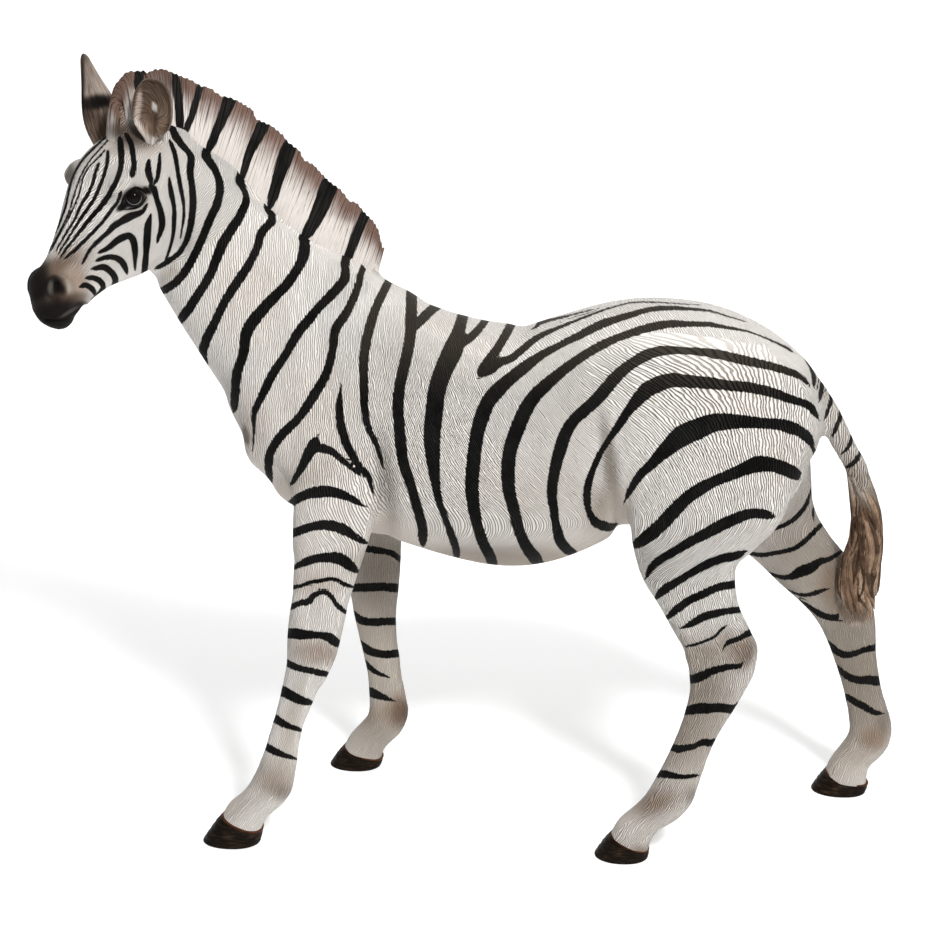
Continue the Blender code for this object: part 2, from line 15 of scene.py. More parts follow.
import bmesh
import bpy
import numpy as np
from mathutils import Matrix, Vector


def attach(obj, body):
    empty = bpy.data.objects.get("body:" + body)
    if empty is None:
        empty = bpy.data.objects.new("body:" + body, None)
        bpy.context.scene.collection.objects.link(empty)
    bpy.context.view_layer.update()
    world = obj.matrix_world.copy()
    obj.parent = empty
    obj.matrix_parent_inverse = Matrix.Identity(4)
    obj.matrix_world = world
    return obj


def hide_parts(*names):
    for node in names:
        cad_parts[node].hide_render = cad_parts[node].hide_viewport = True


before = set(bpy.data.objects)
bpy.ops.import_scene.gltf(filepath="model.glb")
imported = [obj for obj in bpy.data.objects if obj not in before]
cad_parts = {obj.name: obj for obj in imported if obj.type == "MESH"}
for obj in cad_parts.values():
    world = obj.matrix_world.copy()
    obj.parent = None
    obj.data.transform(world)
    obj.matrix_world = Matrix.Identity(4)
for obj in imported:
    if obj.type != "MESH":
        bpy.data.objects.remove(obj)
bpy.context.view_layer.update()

logging.basicConfig(level=logging.INFO, format="%(name)s: %(message)s")
log = logging.getLogger("zebra")

BODY = "root"

Array = np.ndarray
Colour = tuple[float, float, float]

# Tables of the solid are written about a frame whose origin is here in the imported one.
TABLE_ORIGIN = np.array((-0.0361, 0.0165, 0.0))

HEAD_AT = np.array((-0.4001, -0.0445, 0.910))        # poll, between the ears
HEAD_ALONG = np.array((-0.4701, -0.4384, -0.7660))   # from the poll to the nose
HEAD_LEFT = np.array((0.7535, -0.6513, -0.0896))
HEAD_BROW = np.array((-0.4596, -0.6193, 0.6366))     # out of the forehead
EYE_PLACE = (0.0995, 0.0520, 0.0150)                 # along, left, brow
EYE_RADIUS = 0.0105

# Middle of the neck from side to side at each height, in the tables' frame.
NECK_HEIGHTS = (0.575, 0.617, 0.657, 0.700, 0.745, 0.792, 0.838, 0.882)
NECK_MIDDLES = (0.0, -0.001, -0.003, -0.009, -0.019, -0.034, -0.050, -0.066)

# Centre line of each leg: height, x and y, in the tables' frame.
LEG_NEAR_FORE = ((0.0, -0.283, -0.122), (0.03, -0.274, -0.122), (0.052, -0.258, -0.122),
                 (0.072, -0.240, -0.122), (0.128, -0.221, -0.120), (0.192, -0.203, -0.117),
                 (0.239, -0.187, -0.115), (0.300, -0.1755, -0.112), (0.405, -0.158, -0.102),
                 (0.545, -0.161, -0.080))
LEG_FAR_FORE = ((0.0, -0.158, 0.134), (0.047, -0.137, 0.134), (0.065, -0.1205, 0.133),
                (0.086, -0.1155, 0.131), (0.150, -0.121, 0.126), (0.262, -0.1325, 0.120),
                (0.335, -0.131, 0.112), (0.430, -0.136, 0.099), (0.540, -0.154, 0.080))
LEG_NEAR_HIND = ((0.0, 0.220, -0.123), (0.053, 0.246, -0.123), (0.074, 0.269, -0.122),
                 (0.118, 0.2895, -0.120), (0.178, 0.311, -0.116), (0.238, 0.332, -0.112),
                 (0.266, 0.336, -0.110), (0.322, 0.311, -0.104), (0.390, 0.290, -0.095),
                 (0.485, 0.313, -0.078), (0.575, 0.330, -0.060))
LEG_FAR_HIND = ((0.0, 0.515, 0.104), (0.0495, 0.5285, 0.104), (0.069, 0.544, 0.104),
                (0.089, 0.550, 0.104), (0.140, 0.538, 0.102), (0.205, 0.5215, 0.101),
                (0.268, 0.503, 0.099), (0.334, 0.449, 0.094), (0.376, 0.415, 0.090),
                (0.424, 0.383, 0.085), (0.484, 0.352, 0.078), (0.575, 0.335, 0.060))

# Tail: x, y, z, half depth, half width, in the tables' frame.
TAIL = ((0.421, 0.000, 0.600, 0.0215, 0.025), (0.436, 0.000, 0.589, 0.0180, 0.020),
        (0.449, 0.001, 0.574, 0.0160, 0.017), (0.468, 0.005, 0.545, 0.0148, 0.0150),
        (0.485, 0.012, 0.512, 0.0138, 0.0142), (0.501, 0.020, 0.485, 0.0135, 0.0140),
        (0.512, 0.028, 0.450, 0.0150, 0.0150), (0.520, 0.035, 0.415, 0.0182, 0.0170),
        (0.522, 0.042, 0.379, 0.0210, 0.0185), (0.519, 0.050, 0.342, 0.0245, 0.0200),
        (0.517, 0.056, 0.306, 0.0255, 0.0200), (0.523, 0.062, 0.276, 0.0200, 0.0180))

# Mane: foot, top and thickness, in the tables' frame.
MANE = (((-0.4030, -0.107, 0.884), (-0.4005, -0.111, 0.920), 0.023),
        ((-0.4055, -0.106, 0.902), (-0.404, -0.110, 0.944), 0.027),
        ((-0.399, -0.096, 0.914), (-0.399, -0.105, 0.964), 0.028),
        ((-0.384, -0.080, 0.918), (-0.388, -0.090, 0.981), 0.028),
        ((-0.362, -0.064, 0.908), (-0.358, -0.067, 0.984), 0.027),
        ((-0.338, -0.050, 0.893), (-0.326, -0.051, 0.967), 0.026),
        ((-0.309, -0.036, 0.867), (-0.280, -0.038, 0.947), 0.026),
        ((-0.274, -0.025, 0.840), (-0.245, -0.027, 0.916), 0.026),
        ((-0.239, -0.016, 0.806), (-0.210, -0.018, 0.888), 0.026),
        ((-0.199, -0.008, 0.771), (-0.166, -0.009, 0.846), 0.027),
        ((-0.152, -0.002, 0.740), (-0.128, -0.002, 0.809), 0.027),
        ((-0.124, 0.000, 0.722), (-0.104, 0.000, 0.782), 0.025),
        ((-0.110, 0.000, 0.716), (-0.0985, 0.000, 0.758), 0.022))

# The top of the mane against the background, in picture units, from the forelock to the withers.
MANE_OUTLINE = ((110, 98), (114, 88), (120, 81), (124, 75), (128, 71), (143, 70), (148, 72), (154, 69),
                (163, 68), (171, 71), (180, 75), (191, 79), (201, 85), (210, 87), (221, 95), (231, 97),
                (240, 101), (253, 109), (256, 118), (272, 125), (283, 134), (288, 141), (300, 150),
                (304, 159), (314, 164), (322, 173), (331, 182), (340, 188), (346, 195), (349, 200),
                (357, 202), (365, 212), (374, 221), (379, 230), (381, 240), (383, 247), (381, 256))


class Chart(Enum):
    """Which set of painted strokes a place on the figure is painted from."""
    NEAR = 0
    FAR_FORE = 1
    FAR_HIND = 2
    TAIL = 3
    FAR_SIDE = 4


@dataclass(frozen=True)
class PhotoView:
    """The photograph's camera, and how it maps a place to picture units."""
    eye: tuple[float, float, float] = (0.1806, -2.4599, 1.1482)
    azimuth: float = 5.0        # degrees that the aim turns left of +Y
    pitch: float = 15.0         # degrees that it looks down
    focal: float = 2000.0       # picture units
    picture: float = 925.0      # width and height in picture units
    sensor: float = 36.0        # millimetres

    def axes(self) -> tuple[Array, Array, Array]:
        """Directions of the camera.

        Returns:
            Unit vectors forward, to the right and up.
        """
        turn = math.radians(self.azimuth)
        dip = math.radians(self.pitch)
        ahead = np.array((-math.sin(turn) * math.cos(dip), math.cos(turn) * math.cos(dip), -math.sin(dip)))
        right = np.array((math.cos(turn), math.sin(turn), 0.0))
        return ahead, right, np.cross(right, ahead)

    def project(self, places: Array) -> Array:
        """Picture position of places.

        Args:
            places: rows of x, y, z.

        Returns:
            Rows of picture x (right) and picture y (down).
        """
        ahead, right, up = self.axes()
        off = places - np.array(self.eye)
        depth = off @ ahead
        half = self.picture / 2.0
        return np.stack((half + self.focal * (off @ right) / depth,
                         half - self.focal * (off @ up) / depth), axis=1)

    def build(self) -> bpy.types.Object:
        """Places the camera.

        Returns:
            The camera object, made the scene's camera.
        """
        data = bpy.data.cameras.new("photo_view")
        data.sensor_width = self.sensor
        data.lens = self.focal * self.sensor / self.picture
        data.clip_end = 60.0
        camera = bpy.data.objects.new("photo_view", data)
        camera.location = self.eye
        camera.rotation_euler = (math.radians(90.0 - self.pitch), 0.0, math.radians(self.azimuth))
        bpy.context.scene.collection.objects.link(camera)
        bpy.context.scene.camera = camera
        return camera


VIEW = PhotoView()


def smooth(value: Array | float, low: float, high: float) -> Array:
    """A soft step that is 0 at low and 1 at high.

    Args:
        value: number or array.
        low: where the step starts.
        high: where it ends, above or below low.

    Returns:
        The step, between 0 and 1.
    """
    t = np.clip((np.asarray(value, float) - low) / (high - low), 0.0, 1.0)
    return t * t * (3.0 - 2.0 * t)


def spline(points: Array, steps: int) -> Array:
    """A smooth curve through points.

    Args:
        points: rows of coordinates.
        steps: pieces that each span is divided into.

    Returns:
        Rows on the curve, both ends included.
    """
    points = np.asarray(points, float)
    rows = np.vstack((2.0 * points[0] - points[1], points, 2.0 * points[-1] - points[-2]))
    t = (np.arange(steps) / steps)[:, None]
    found = []
    for a, b, c, d in zip(rows, rows[1:], rows[2:], rows[3:]):
        found.append(b + 0.5 * t * (c - a + t * (2 * a - 5 * b + 4 * c - d + t * (3 * (b - c) + d - a))))
    return np.vstack(found + [points[-1]])


def line_distance(flat: Array, line: Array) -> tuple[Array, Array, Array]:
    """Nearest place of a line to each point, measured to the painted edge.

    Args:
        flat: rows of picture x and y.
        line: rows of picture x, y and half width.

    Returns:
        Signed offset, half width and distance for each point.
    """
    start = line[:-1, :2]
    run = line[1:, :2] - start
    length = np.maximum((run ** 2).sum(1), 1e-9)
    off = flat[:, None, :] - start[None]
    t = np.clip((off * run).sum(2) / length, 0.0, 1.0)
    away = off - t[..., None] * run
    gap = np.hypot(away[..., 0], away[..., 1])
    half = line[:-1, 2] + t * (line[1:, 2] - line[:-1, 2])
    pick = np.argmin(gap - half, axis=1)
    row = np.arange(len(flat))
    side = run[pick, 0] * away[row, pick, 1] - run[pick, 1] * away[row, pick, 0]
    return np.where(side < 0, -1.0, 1.0) * gap[row, pick], half[row, pick], gap[row, pick]


@dataclass(frozen=True)
class Stroke:
    """One brush stroke: its width, and points of picture x, y and, where it changes, width."""
    width: float
    points: tuple

    def line(self) -> Array:
        """The stroke as a fine line.

        Returns:
            Rows of picture x, y and half width, narrower at both ends.
        """
        rows = [(p[0], p[1], (p[2] if len(p) > 2 else self.width) / 2.0) for p in self.points]
        fine = spline(np.array(rows), 4)
        step = np.hypot(*np.diff(fine[:, :2], axis=0).T)
        run = np.concatenate(((0.0,), np.cumsum(step)))
        end = np.minimum(run, run[-1] - run)
        fine[:, 2] *= 0.62 + 0.38 * np.clip(end / np.maximum(fine[:, 2] * 1.2, 0.5), 0.0, 1.0)
        return fine


@dataclass(frozen=True)
class Patch:
    """A soft spot of colour at a picture place, with two half sizes and a turn: airbrushed paint, and in some places
    painted shade.
    """
    x: float
    y: float
    across: float
    down: float
    colour: Colour
    strength: float = 0.8
    turn: float = 0.0
    hardness: float = 1.4

    def weight(self, flat: Array) -> Array:
        """How much of the colour lies at each point.

        Args:
            flat: rows of picture x and y.

        Returns:
            A share between 0 and 1 for each.
        """
        a = math.radians(self.turn)
        off = flat - np.array((self.x, self.y))
        u = (off[:, 0] * math.cos(a) + off[:, 1] * math.sin(a)) / self.across
        v = (off[:, 1] * math.cos(a) - off[:, 0] * math.sin(a)) / self.down
        return self.strength * np.exp(-(u * u + v * v) ** self.hardness)


@dataclass(frozen=True)
class Carve:
    """A groove (negative height) or ridge along a line on the surface, in picture units."""
    height: float          # metres
    width: float           # picture units from the line to where it fades
    points: tuple
    facing: float = -1.0   # least share that the surface faces the photograph's camera

    def lift(self, flat: Array) -> Array:
        """Height added at each point.

        Args:
            flat: rows of picture x and y.

        Returns:
            Metres along the normal.
        """
        line = np.array([(p[0], p[1], 0.0) for p in self.points], float)
        if len(line) == 1:
            away = np.hypot(*(flat - line[0, :2]).T)
            return self.height * np.exp(-((away / self.width) ** 2))
        fine = spline(line, 4)
        low = fine[:, :2].min(0) - 3.0 * self.width
        high = fine[:, :2].max(0) + 3.0 * self.width
        near = np.nonzero(((flat > low) & (flat < high)).all(1))[0]
        lift = np.zeros(len(flat))
        if len(near):
            gap = line_distance(flat[near], fine)[2]
            lift[near] = self.height * np.exp(-((gap / self.width) ** 2))
        return lift


def s(width: float, *points: tuple) -> Stroke:
    """Short form of a stroke.

    Args:
        width: picture units.
        points: picture x, y and, where it changes, width.

    Returns:
        The stroke.
    """
    return Stroke(width, points)


FACE = (
    s(2.6, (109, 134), (97, 145), (85, 157), (76, 170), (70, 186), (66, 205), (60, 222), (50, 241), (44, 250, 1.7)),
    s(1.9, (110, 138), (99, 150), (88, 163), (80, 178), (74, 195), (69, 212), (61, 229), (52, 246, 1.9), (47, 254, 1.6)),
    s(1.9, (105, 150), (97, 159), (89, 167), (83, 178), (79, 194), (74, 207), (66, 223), (58, 237, 2.0), (51, 251, 1.6)),
    s(3.6, (99, 163), (96, 171), (93, 182), (88, 194), (81, 205), (75, 219, 2.9), (65, 235, 2.5), (56, 251, 1.7)),
    s(4.0, (108, 151), (107, 163), (104, 175), (99, 188), (93, 201), (83, 215), (74, 229, 2.9), (65, 243, 2.5), (58, 254, 1.7)),
    s(5.7, (120, 138), (121, 151, 6.8), (121, 165), (118, 178), (112, 190), (105, 201), (95, 213, 5.1), (85, 225, 4.6),
      (75, 238, 3.6), (66, 249, 3.0), (60, 258, 2.3)),
    s(5.7, (126, 134), (131, 144), (133, 155), (134, 165), (132, 173), (130, 178, 3.4)),
    s(3.6, (121, 191), (117, 203), (109, 213, 4.1), (101, 223), (91, 234), (81, 244), (74, 251), (64, 259, 2.3)),
    s(6.8, (148, 204, 2.8), (143, 212, 4.6), (133, 216, 6.8), (124, 220, 7.4), (114, 226, 6.8), (106, 234, 5.1),
      (97, 242, 4.6), (89, 251, 4.0), (82, 264, 2.8)),
    s(6.3, (98, 253, 2.8), (108, 248, 5.7), (118, 240, 7.4), (128, 236, 7.4), (133, 240, 7.4), (135, 250, 6.8),
      (135, 259, 4.6), (135, 270, 2.3)),
    s(5.7, (96, 261, 3.4), (103, 258, 5.1), (112, 257, 5.7), (120, 260, 6.8), (125, 267, 6.3), (127, 274, 2.8)),
    s(5.7, (92, 269, 4.0), (103, 267, 6.8), (110, 271, 6.8), (115, 278, 6.8), (114, 286, 5.7), (107, 291, 3.4)),
    s(4.6, (86, 278), (94, 278, 5.7), (101, 282, 6.3), (103, 288, 5.7), (98, 295, 4.6), (92, 300, 3.4)),
    s(4.6, (80, 287), (86, 285, 5.7), (93, 290, 5.7), (95, 295, 3.4)),
    s(6.8, (151, 214, 2.3), (148, 226, 7.4), (147, 240, 8.0), (146, 253, 6.3), (145, 267), (143, 277, 4.6)),
    s(6.8, (149, 160, 4.0), (148, 171, 7.4), (150, 183)),
    s(4.6, (160, 153, 2.8), (159, 167), (157, 178), (153, 184)),
    s(6.8, (150, 186, 8.0), (154, 190, 6.8), (157, 200, 5.7), (161, 213), (162, 225), (159, 236, 4.6), (157, 243, 2.8)),
    s(4.6, (169, 177, 2.3), (171, 192, 5.7), (174, 207), (174, 221, 5.1), (173, 236, 4.0), (169, 253, 3.4), (165, 264, 2.3)),
    s(4.6, (170, 140), (175, 155, 5.1), (178, 173), (181, 190), (184, 207, 3.4), (183, 223, 2.8), (181, 239, 1.7)),
    s(6.8, (170, 124), (175, 133, 8), (183, 144, 9.1), (191, 155, 8.0), (190, 171, 7.4), (192, 186), (193, 203, 7.4), (191, 223),
      (187, 240, 5.7), (180, 253, 4.6), (168, 263, 5.1), (156, 270, 5.1)),
)

MANE_STRIPES = (
    s(10, (140, 66), (138, 90)),
    s(9, (175, 74), (179, 106), (180, 130)),
    s(7, (202, 80), (192, 115), (183, 136)),
    s(10, (233, 92, 15), (218, 128), (207, 154, 8)),
    s(9, (267, 118, 15), (249, 154), (242, 180, 7)),
    s(12, (292, 140, 17), (279, 176, 13), (270, 207, 9)),
    s(14, (332, 178, 21), (318, 214, 15), (304, 238, 12)),
    s(10, (368, 208, 11), (355, 238, 10), (345, 266, 9)),
)

NECK_STRIPES = (
    s(8.5, (211, 142), (207, 154), (217, 171), (220, 188), (217, 204), (211, 217), (203, 236), (195, 254), (184, 273),
      (171, 286), (159, 292)),
    s(9, (245, 163, 8), (241, 177, 8), (247, 195, 8), (242, 212, 9), (233, 227, 10), (223, 243, 11), (216, 260, 10), (209, 277),
      (199, 293, 9), (188, 310, 10), (178, 323, 9)),
    s(9, (275, 190, 9), (270, 204, 9), (273, 219, 9), (262, 232), (257, 249, 8), (248, 266), (236, 284, 10), (225, 301),
      (216, 320), (208, 336, 10), (203, 352), (206, 368, 5)),
    s(10, (312, 222, 12), (306, 236, 12), (304, 253, 12), (299, 266, 10), (287, 284, 10), (271, 300, 11), (257, 316, 12),
      (247, 332, 12), (243, 355), (237, 373), (235, 394, 9), (234, 410, 8)),
    s(9, (351, 246, 9), (346, 260, 9), (345, 278, 10), (331, 295, 10), (314, 312), (298, 332, 10), (284, 355, 9), (271, 375),
      (261, 396, 8), (254, 412, 6), (254, 429, 3), (253, 450, 1.5)),
    s(9, (366, 260, 7), (362, 273, 7), (357, 289, 8), (347, 312, 9), (335, 330, 10), (332, 351), (325, 375), (312, 398, 10),
      (300, 416), (281, 435, 9), (271, 451), (268, 466, 8), (269, 484, 5)),
    s(9, (396, 268, 8), (379, 301, 9), (370, 326, 10), (364, 355, 10), (364, 384), (365, 410, 8), (368, 427, 7),
      (376, 447, 5), (382, 468, 3)),
)

SHOULDER_STRIPES = (
    s(6, (341, 384, 1.5), (339, 404, 7), (341, 425, 9), (347, 445, 9), (359, 466, 7), (368, 476, 6), (374, 494, 3)),
    s(8, (291, 484, 5), (302, 466, 9), (312, 447, 12), (318, 437, 4)),
    s(7, (314, 447, 11), (331, 451, 8), (343, 461, 6), (362, 476, 4)),
)

TRUNK_STRIPES = (
    s(11.5, (412, 284), (411, 318), (410, 338), (406, 359), (400, 384), (398, 408), (400, 435), (403, 461),
      (411, 486, 10), (417, 507, 10), (422, 527, 10), (423, 544, 9)),
    s(10, (446, 298), (427, 314), (414, 328)),
    s(18, (466, 304, 10), (459, 330, 13), (453, 350, 20), (445, 367, 19), (437, 390), (434, 415), (432, 440, 17),
      (434, 470, 12), (438, 497, 8), (446, 520, 7), (455, 545, 8), (457, 558, 7)),
    s(8, (492, 311, 7), (478, 330, 8), (464, 343, 9)),
    s(14, (747, 322, 1), (730, 317, 1.5), (710, 311, 2.5), (690, 309, 3.5), (670, 308, 5), (650, 309.5, 5.5),
      (620, 318, 7), (600, 325, 9), (580, 335, 8), (560, 345, 7), (540, 356, 9), (525, 367, 12), (510, 379, 13),
      (497, 391, 15), (487, 404, 15), (481, 420, 15), (476, 440, 14), (472, 480, 14), (473, 500, 13),
      (476, 520, 12), (482, 540, 11), (490, 556, 11), (494, 567, 12)),
    s(14, (793, 352, 2), (785, 347, 3), (770, 340, 2), (750, 332, 2), (730, 328, 3.5), (710, 324.5, 5),
      (690, 324, 6), (670, 324, 8), (650, 327.5, 9), (620, 337, 8), (600, 346, 9), (580, 358, 9.5), (560, 373, 11),
      (545, 386, 13), (533, 398, 14), (524, 413, 15), (517, 430, 15), (510, 450), (508, 470), (509, 490, 13),
      (514, 510, 12), (519, 530, 11), (526, 546, 12), (535, 558, 13), (540, 564)),
    s(12, (808, 384, 4), (800, 376.5, 6), (790, 372, 7.5), (770, 366, 8.5), (750, 361.5, 9.5), (730, 357, 10),
      (710, 353, 9.5), (690, 351, 7.5), (670, 350.5, 9), (650, 353.5, 11), (630, 365, 11), (620, 373), (610, 384, 13),
      (598, 398, 13), (585, 410, 12.5), (573, 421), (565, 435, 13), (560, 450, 13), (556, 465), (553, 480, 11),
      (552, 495, 10.5), (554, 510, 9), (556, 525, 9), (560, 540, 11), (568, 550, 10), (577, 554, 6)),
    s(11, (818, 418, 5), (810, 406.5, 8), (800, 402, 8), (790, 399, 9), (770, 392, 10), (750, 387.5), (730, 385.5),
      (710, 383, 12), (690, 381.5, 13), (670, 380.5, 15), (650, 388, 16), (640, 397, 14), (629, 410, 10),
      (621, 423, 9), (613, 435, 8), (605, 446, 6), (598, 458, 6.5), (592, 472, 7), (588, 485, 8), (587, 498, 8),
      (589, 511, 7), (595, 522, 9), (605, 527, 9), (614, 530, 6), (620, 528, 4)),
    s(10, (517, 313, 9), (505, 336, 9), (497, 349, 9), (489, 361, 11), (483, 371, 12), (479, 377, 3)),
    s(8, (480, 376, 4), (490, 370, 10), (500, 362, 9), (512, 358, 8), (530, 343, 7), (540, 336, 6), (553, 330, 4.5),
      (570, 323, 3), (590, 315, 2.5), (610, 308, 1.8), (640, 302, 1.5), (700, 305, 1.2)),
    s(3, (530, 330, 1), (536, 327, 3), (541, 322, 5), (555, 319, 3), (575, 314, 2), (595, 309, 1)),
)

RUMP_STRIPES = (
    s(18, (624, 502, 1), (630, 490, 7), (640, 474, 10), (650, 465, 11), (660, 455, 14), (670, 446, 17),
      (680, 437, 21), (690, 432, 22), (700, 428, 21), (710, 424, 19), (720, 422, 18), (740, 421.5, 14),
      (760, 423, 11.5), (780, 424.5, 12), (790, 427.5, 13), (800, 431.5, 11), (808, 438, 10), (812, 446, 6)),
    s(4, (812, 446, 4), (815, 455), (812, 468), (806, 476), (800, 482)),
    s(13, (632, 547, 7), (645, 539, 12), (660, 526, 14), (673, 512, 14), (687, 498), (700, 489), (715, 481, 11),
      (730, 475, 12), (745, 469, 14), (758, 465, 17), (772, 465, 14), (785, 469, 14), (797, 475, 12), (801, 479, 6)),
    s(10, (646, 578, 3), (651, 568, 7), (661, 559, 9), (675, 551, 9), (690, 542), (705, 534, 11), (720, 526, 12),
      (735, 519, 12), (750, 514), (762, 514), (773, 516, 8)),
    s(9, (655, 599, 4), (664, 590), (680, 580, 8), (693, 572, 8), (706, 565), (720, 559), (735, 556), (746, 551, 3)),
    s(8.3, (666, 619, 4), (676, 610), (688, 602), (702, 595), (716, 588), (730, 585), (741, 583)),
    s(7.5, (682, 628, 3), (694, 623), (705, 617, 8.5), (718, 613, 8), (730, 611, 6.5), (743, 609)),
    s(3, (687, 646), (695, 645), (705, 642), (715, 637), (720, 631), (726, 627, 4)),
    s(6, (724, 649, 2), (728, 644, 5), (738, 639, 5), (745, 635), (753, 631, 9)),
    s(7.5, (686, 681, 9), (700, 677, 9.5), (710, 672, 8), (720, 669), (730, 667, 6), (738, 667, 6), (742, 664, 3)),
    s(10, (682, 712, 8), (695, 709), (705, 708, 11), (725, 708.5, 9), (733, 709, 9), (739, 704, 4)),
    s(7, (668, 745, 7), (677, 749, 8), (685, 748), (695, 746, 6), (703, 743), (712, 743), (720, 739, 4)),
    s(6, (654, 775, 5), (663, 774, 8), (675, 776), (685, 777, 4.5), (697, 775.5, 4)),
)

NEAR_FORE_BANDS = (
    s(10, (286, 508, 6), (297, 499, 9), (308, 494), (320, 492, 12), (332, 492, 11), (344, 495.5, 9), (355, 501, 7),
      (364, 506, 2)),
    s(10, (285, 536, 8), (299, 531, 9), (311, 527, 9), (323, 525), (335, 526.5, 11), (345, 531, 11), (355, 537, 8),
      (366, 543, 5)),
    s(9, (290, 569, 4), (303, 563, 8), (315, 559), (327, 557.5, 10), (339, 559, 12), (349, 565, 11), (358, 572, 6)),
    s(4.2, (288, 588.5, 5), (300, 586), (310, 582.5), (320, 581), (330, 579), (338, 581), (345, 585), (353, 587)),
    s(6, (288, 609), (300, 603), (308, 602, 7), (313, 596), (320, 592.5, 5), (327, 593, 5), (333, 599, 5),
      (338, 606, 5), (347, 613, 5)),
    s(9, (284, 633, 10), (297, 633.5, 11), (308, 634), (320, 635, 7), (330, 638, 10), (337, 643), (342, 646, 5)),
    s(7.5, (283, 661, 8), (297, 667), (309, 669.5, 7), (320, 674, 7), (330, 674, 5)),
    s(10, (277, 688, 12), (290, 695, 10.5), (300, 700, 9), (309, 703, 6.5), (315, 704, 4)),
    s(7, (270, 715, 9), (282, 723, 8), (291, 727, 5.5), (303, 731, 5)),
    s(7, (262, 744, 7), (274, 751, 8), (283, 755, 5.5), (296, 759, 4)),
)

FAR_FORE_BANDS = (
    s(6, (360, 548, 7), (375, 550, 7), (387, 552), (395, 555), (404, 564, 4)),
    s(9, (346, 588, 7), (365, 587.5), (385, 587, 8.5), (404, 589, 10)),
    s(8, (350, 611, 5), (361, 620), (372, 622), (385, 621.5), (402, 621)),
    s(8, (357, 641, 7), (369, 650, 9), (380, 653), (390, 654), (404, 652, 9)),
    s(6, (362, 660, 7), (370, 667), (377, 672.5, 5), (388, 677, 2)),
    s(9, (364, 689, 10), (376, 694.5), (384, 697.5, 6), (394, 701, 2)),
)

FAR_HIND_BANDS = (
    s(4, (760, 532, 3), (777, 528), (790, 522, 5), (800, 513, 5), (807, 503), (811, 490, 2), (814, 478, 1)),
    s(5, (744, 552, 3), (760, 555), (775, 553, 4.5), (790, 550), (800, 545), (810, 536), (823, 523)),
    s(3, (813, 508), (813, 518)),
    s(9, (760, 570, 2), (778, 576.5, 4), (790, 577, 6), (800, 572, 11), (810, 568, 11), (820, 561.5, 7),
      (830, 559, 5), (842, 551, 4)),
    s(4, (787, 589, 1), (797, 594, 3), (806, 595, 4), (815, 593, 5), (822, 590), (828, 588, 2)),
    s(7, (800, 600, 2), (812, 609, 5), (822, 615), (833, 617.5), (843, 616, 10), (852, 616, 8), (866, 613, 6)),
    s(7, (826, 640, 4), (836, 651), (846, 655), (857, 653, 6), (867, 650, 6), (879, 646, 8)),
    s(8, (835, 665, 4), (847, 676, 7), (858, 680), (868, 680.5, 9), (884, 681.5, 11)),
    s(7, (844, 695, 6), (856, 702.5), (865, 707), (873, 712, 6), (882, 713.5, 3)),
)

TAIL_BARS = (
    s(5, (800, 350, 1), (811, 368, 4), (814, 378), (814, 386, 3)),
    s(4.5, (820, 373, 1), (822, 383, 4), (821, 392, 5), (820, 400, 3)),
    s(4, (829, 388, 1.5), (831, 400), (828, 410), (825, 419, 2.5)),
    s(4.5, (840, 405, 2), (841, 415), (837, 425), (833, 435)),
    s(4, (852, 431, 2), (851, 441), (847, 449, 3.5), (842, 453, 2)),
    s(5, (861, 450, 2.5), (857, 459), (851, 465), (846, 467, 3)),
)

STROKES: dict[Chart, tuple[Stroke, ...]] = {
    Chart.NEAR: FACE + NECK_STRIPES + SHOULDER_STRIPES + TRUNK_STRIPES + RUMP_STRIPES + NEAR_FORE_BANDS + TAIL_BARS,
    Chart.FAR_FORE: FAR_FORE_BANDS,
    Chart.FAR_HIND: FAR_HIND_BANDS,
    Chart.TAIL: TAIL_BARS + TRUNK_STRIPES[-5:-3],
    Chart.FAR_SIDE: NECK_STRIPES + SHOULDER_STRIPES + TRUNK_STRIPES + RUMP_STRIPES + NEAR_FORE_BANDS,
}

# Paint, as linear colour.
CREAM: Colour = (0.635, 0.610, 0.580)
TAN: Colour = (0.235, 0.165, 0.118)
BLUSH: Colour = (0.445, 0.380, 0.335)
BEIGE: Colour = (0.345, 0.305, 0.258)
UMBER: Colour = (0.070, 0.046, 0.034)
SOOT: Colour = (0.0075, 0.0065, 0.0060)
GREY: Colour = (0.205, 0.190, 0.170)
SHADE: Colour = (0.165, 0.140, 0.112)
BROWN: Colour = (0.098, 0.066, 0.046)

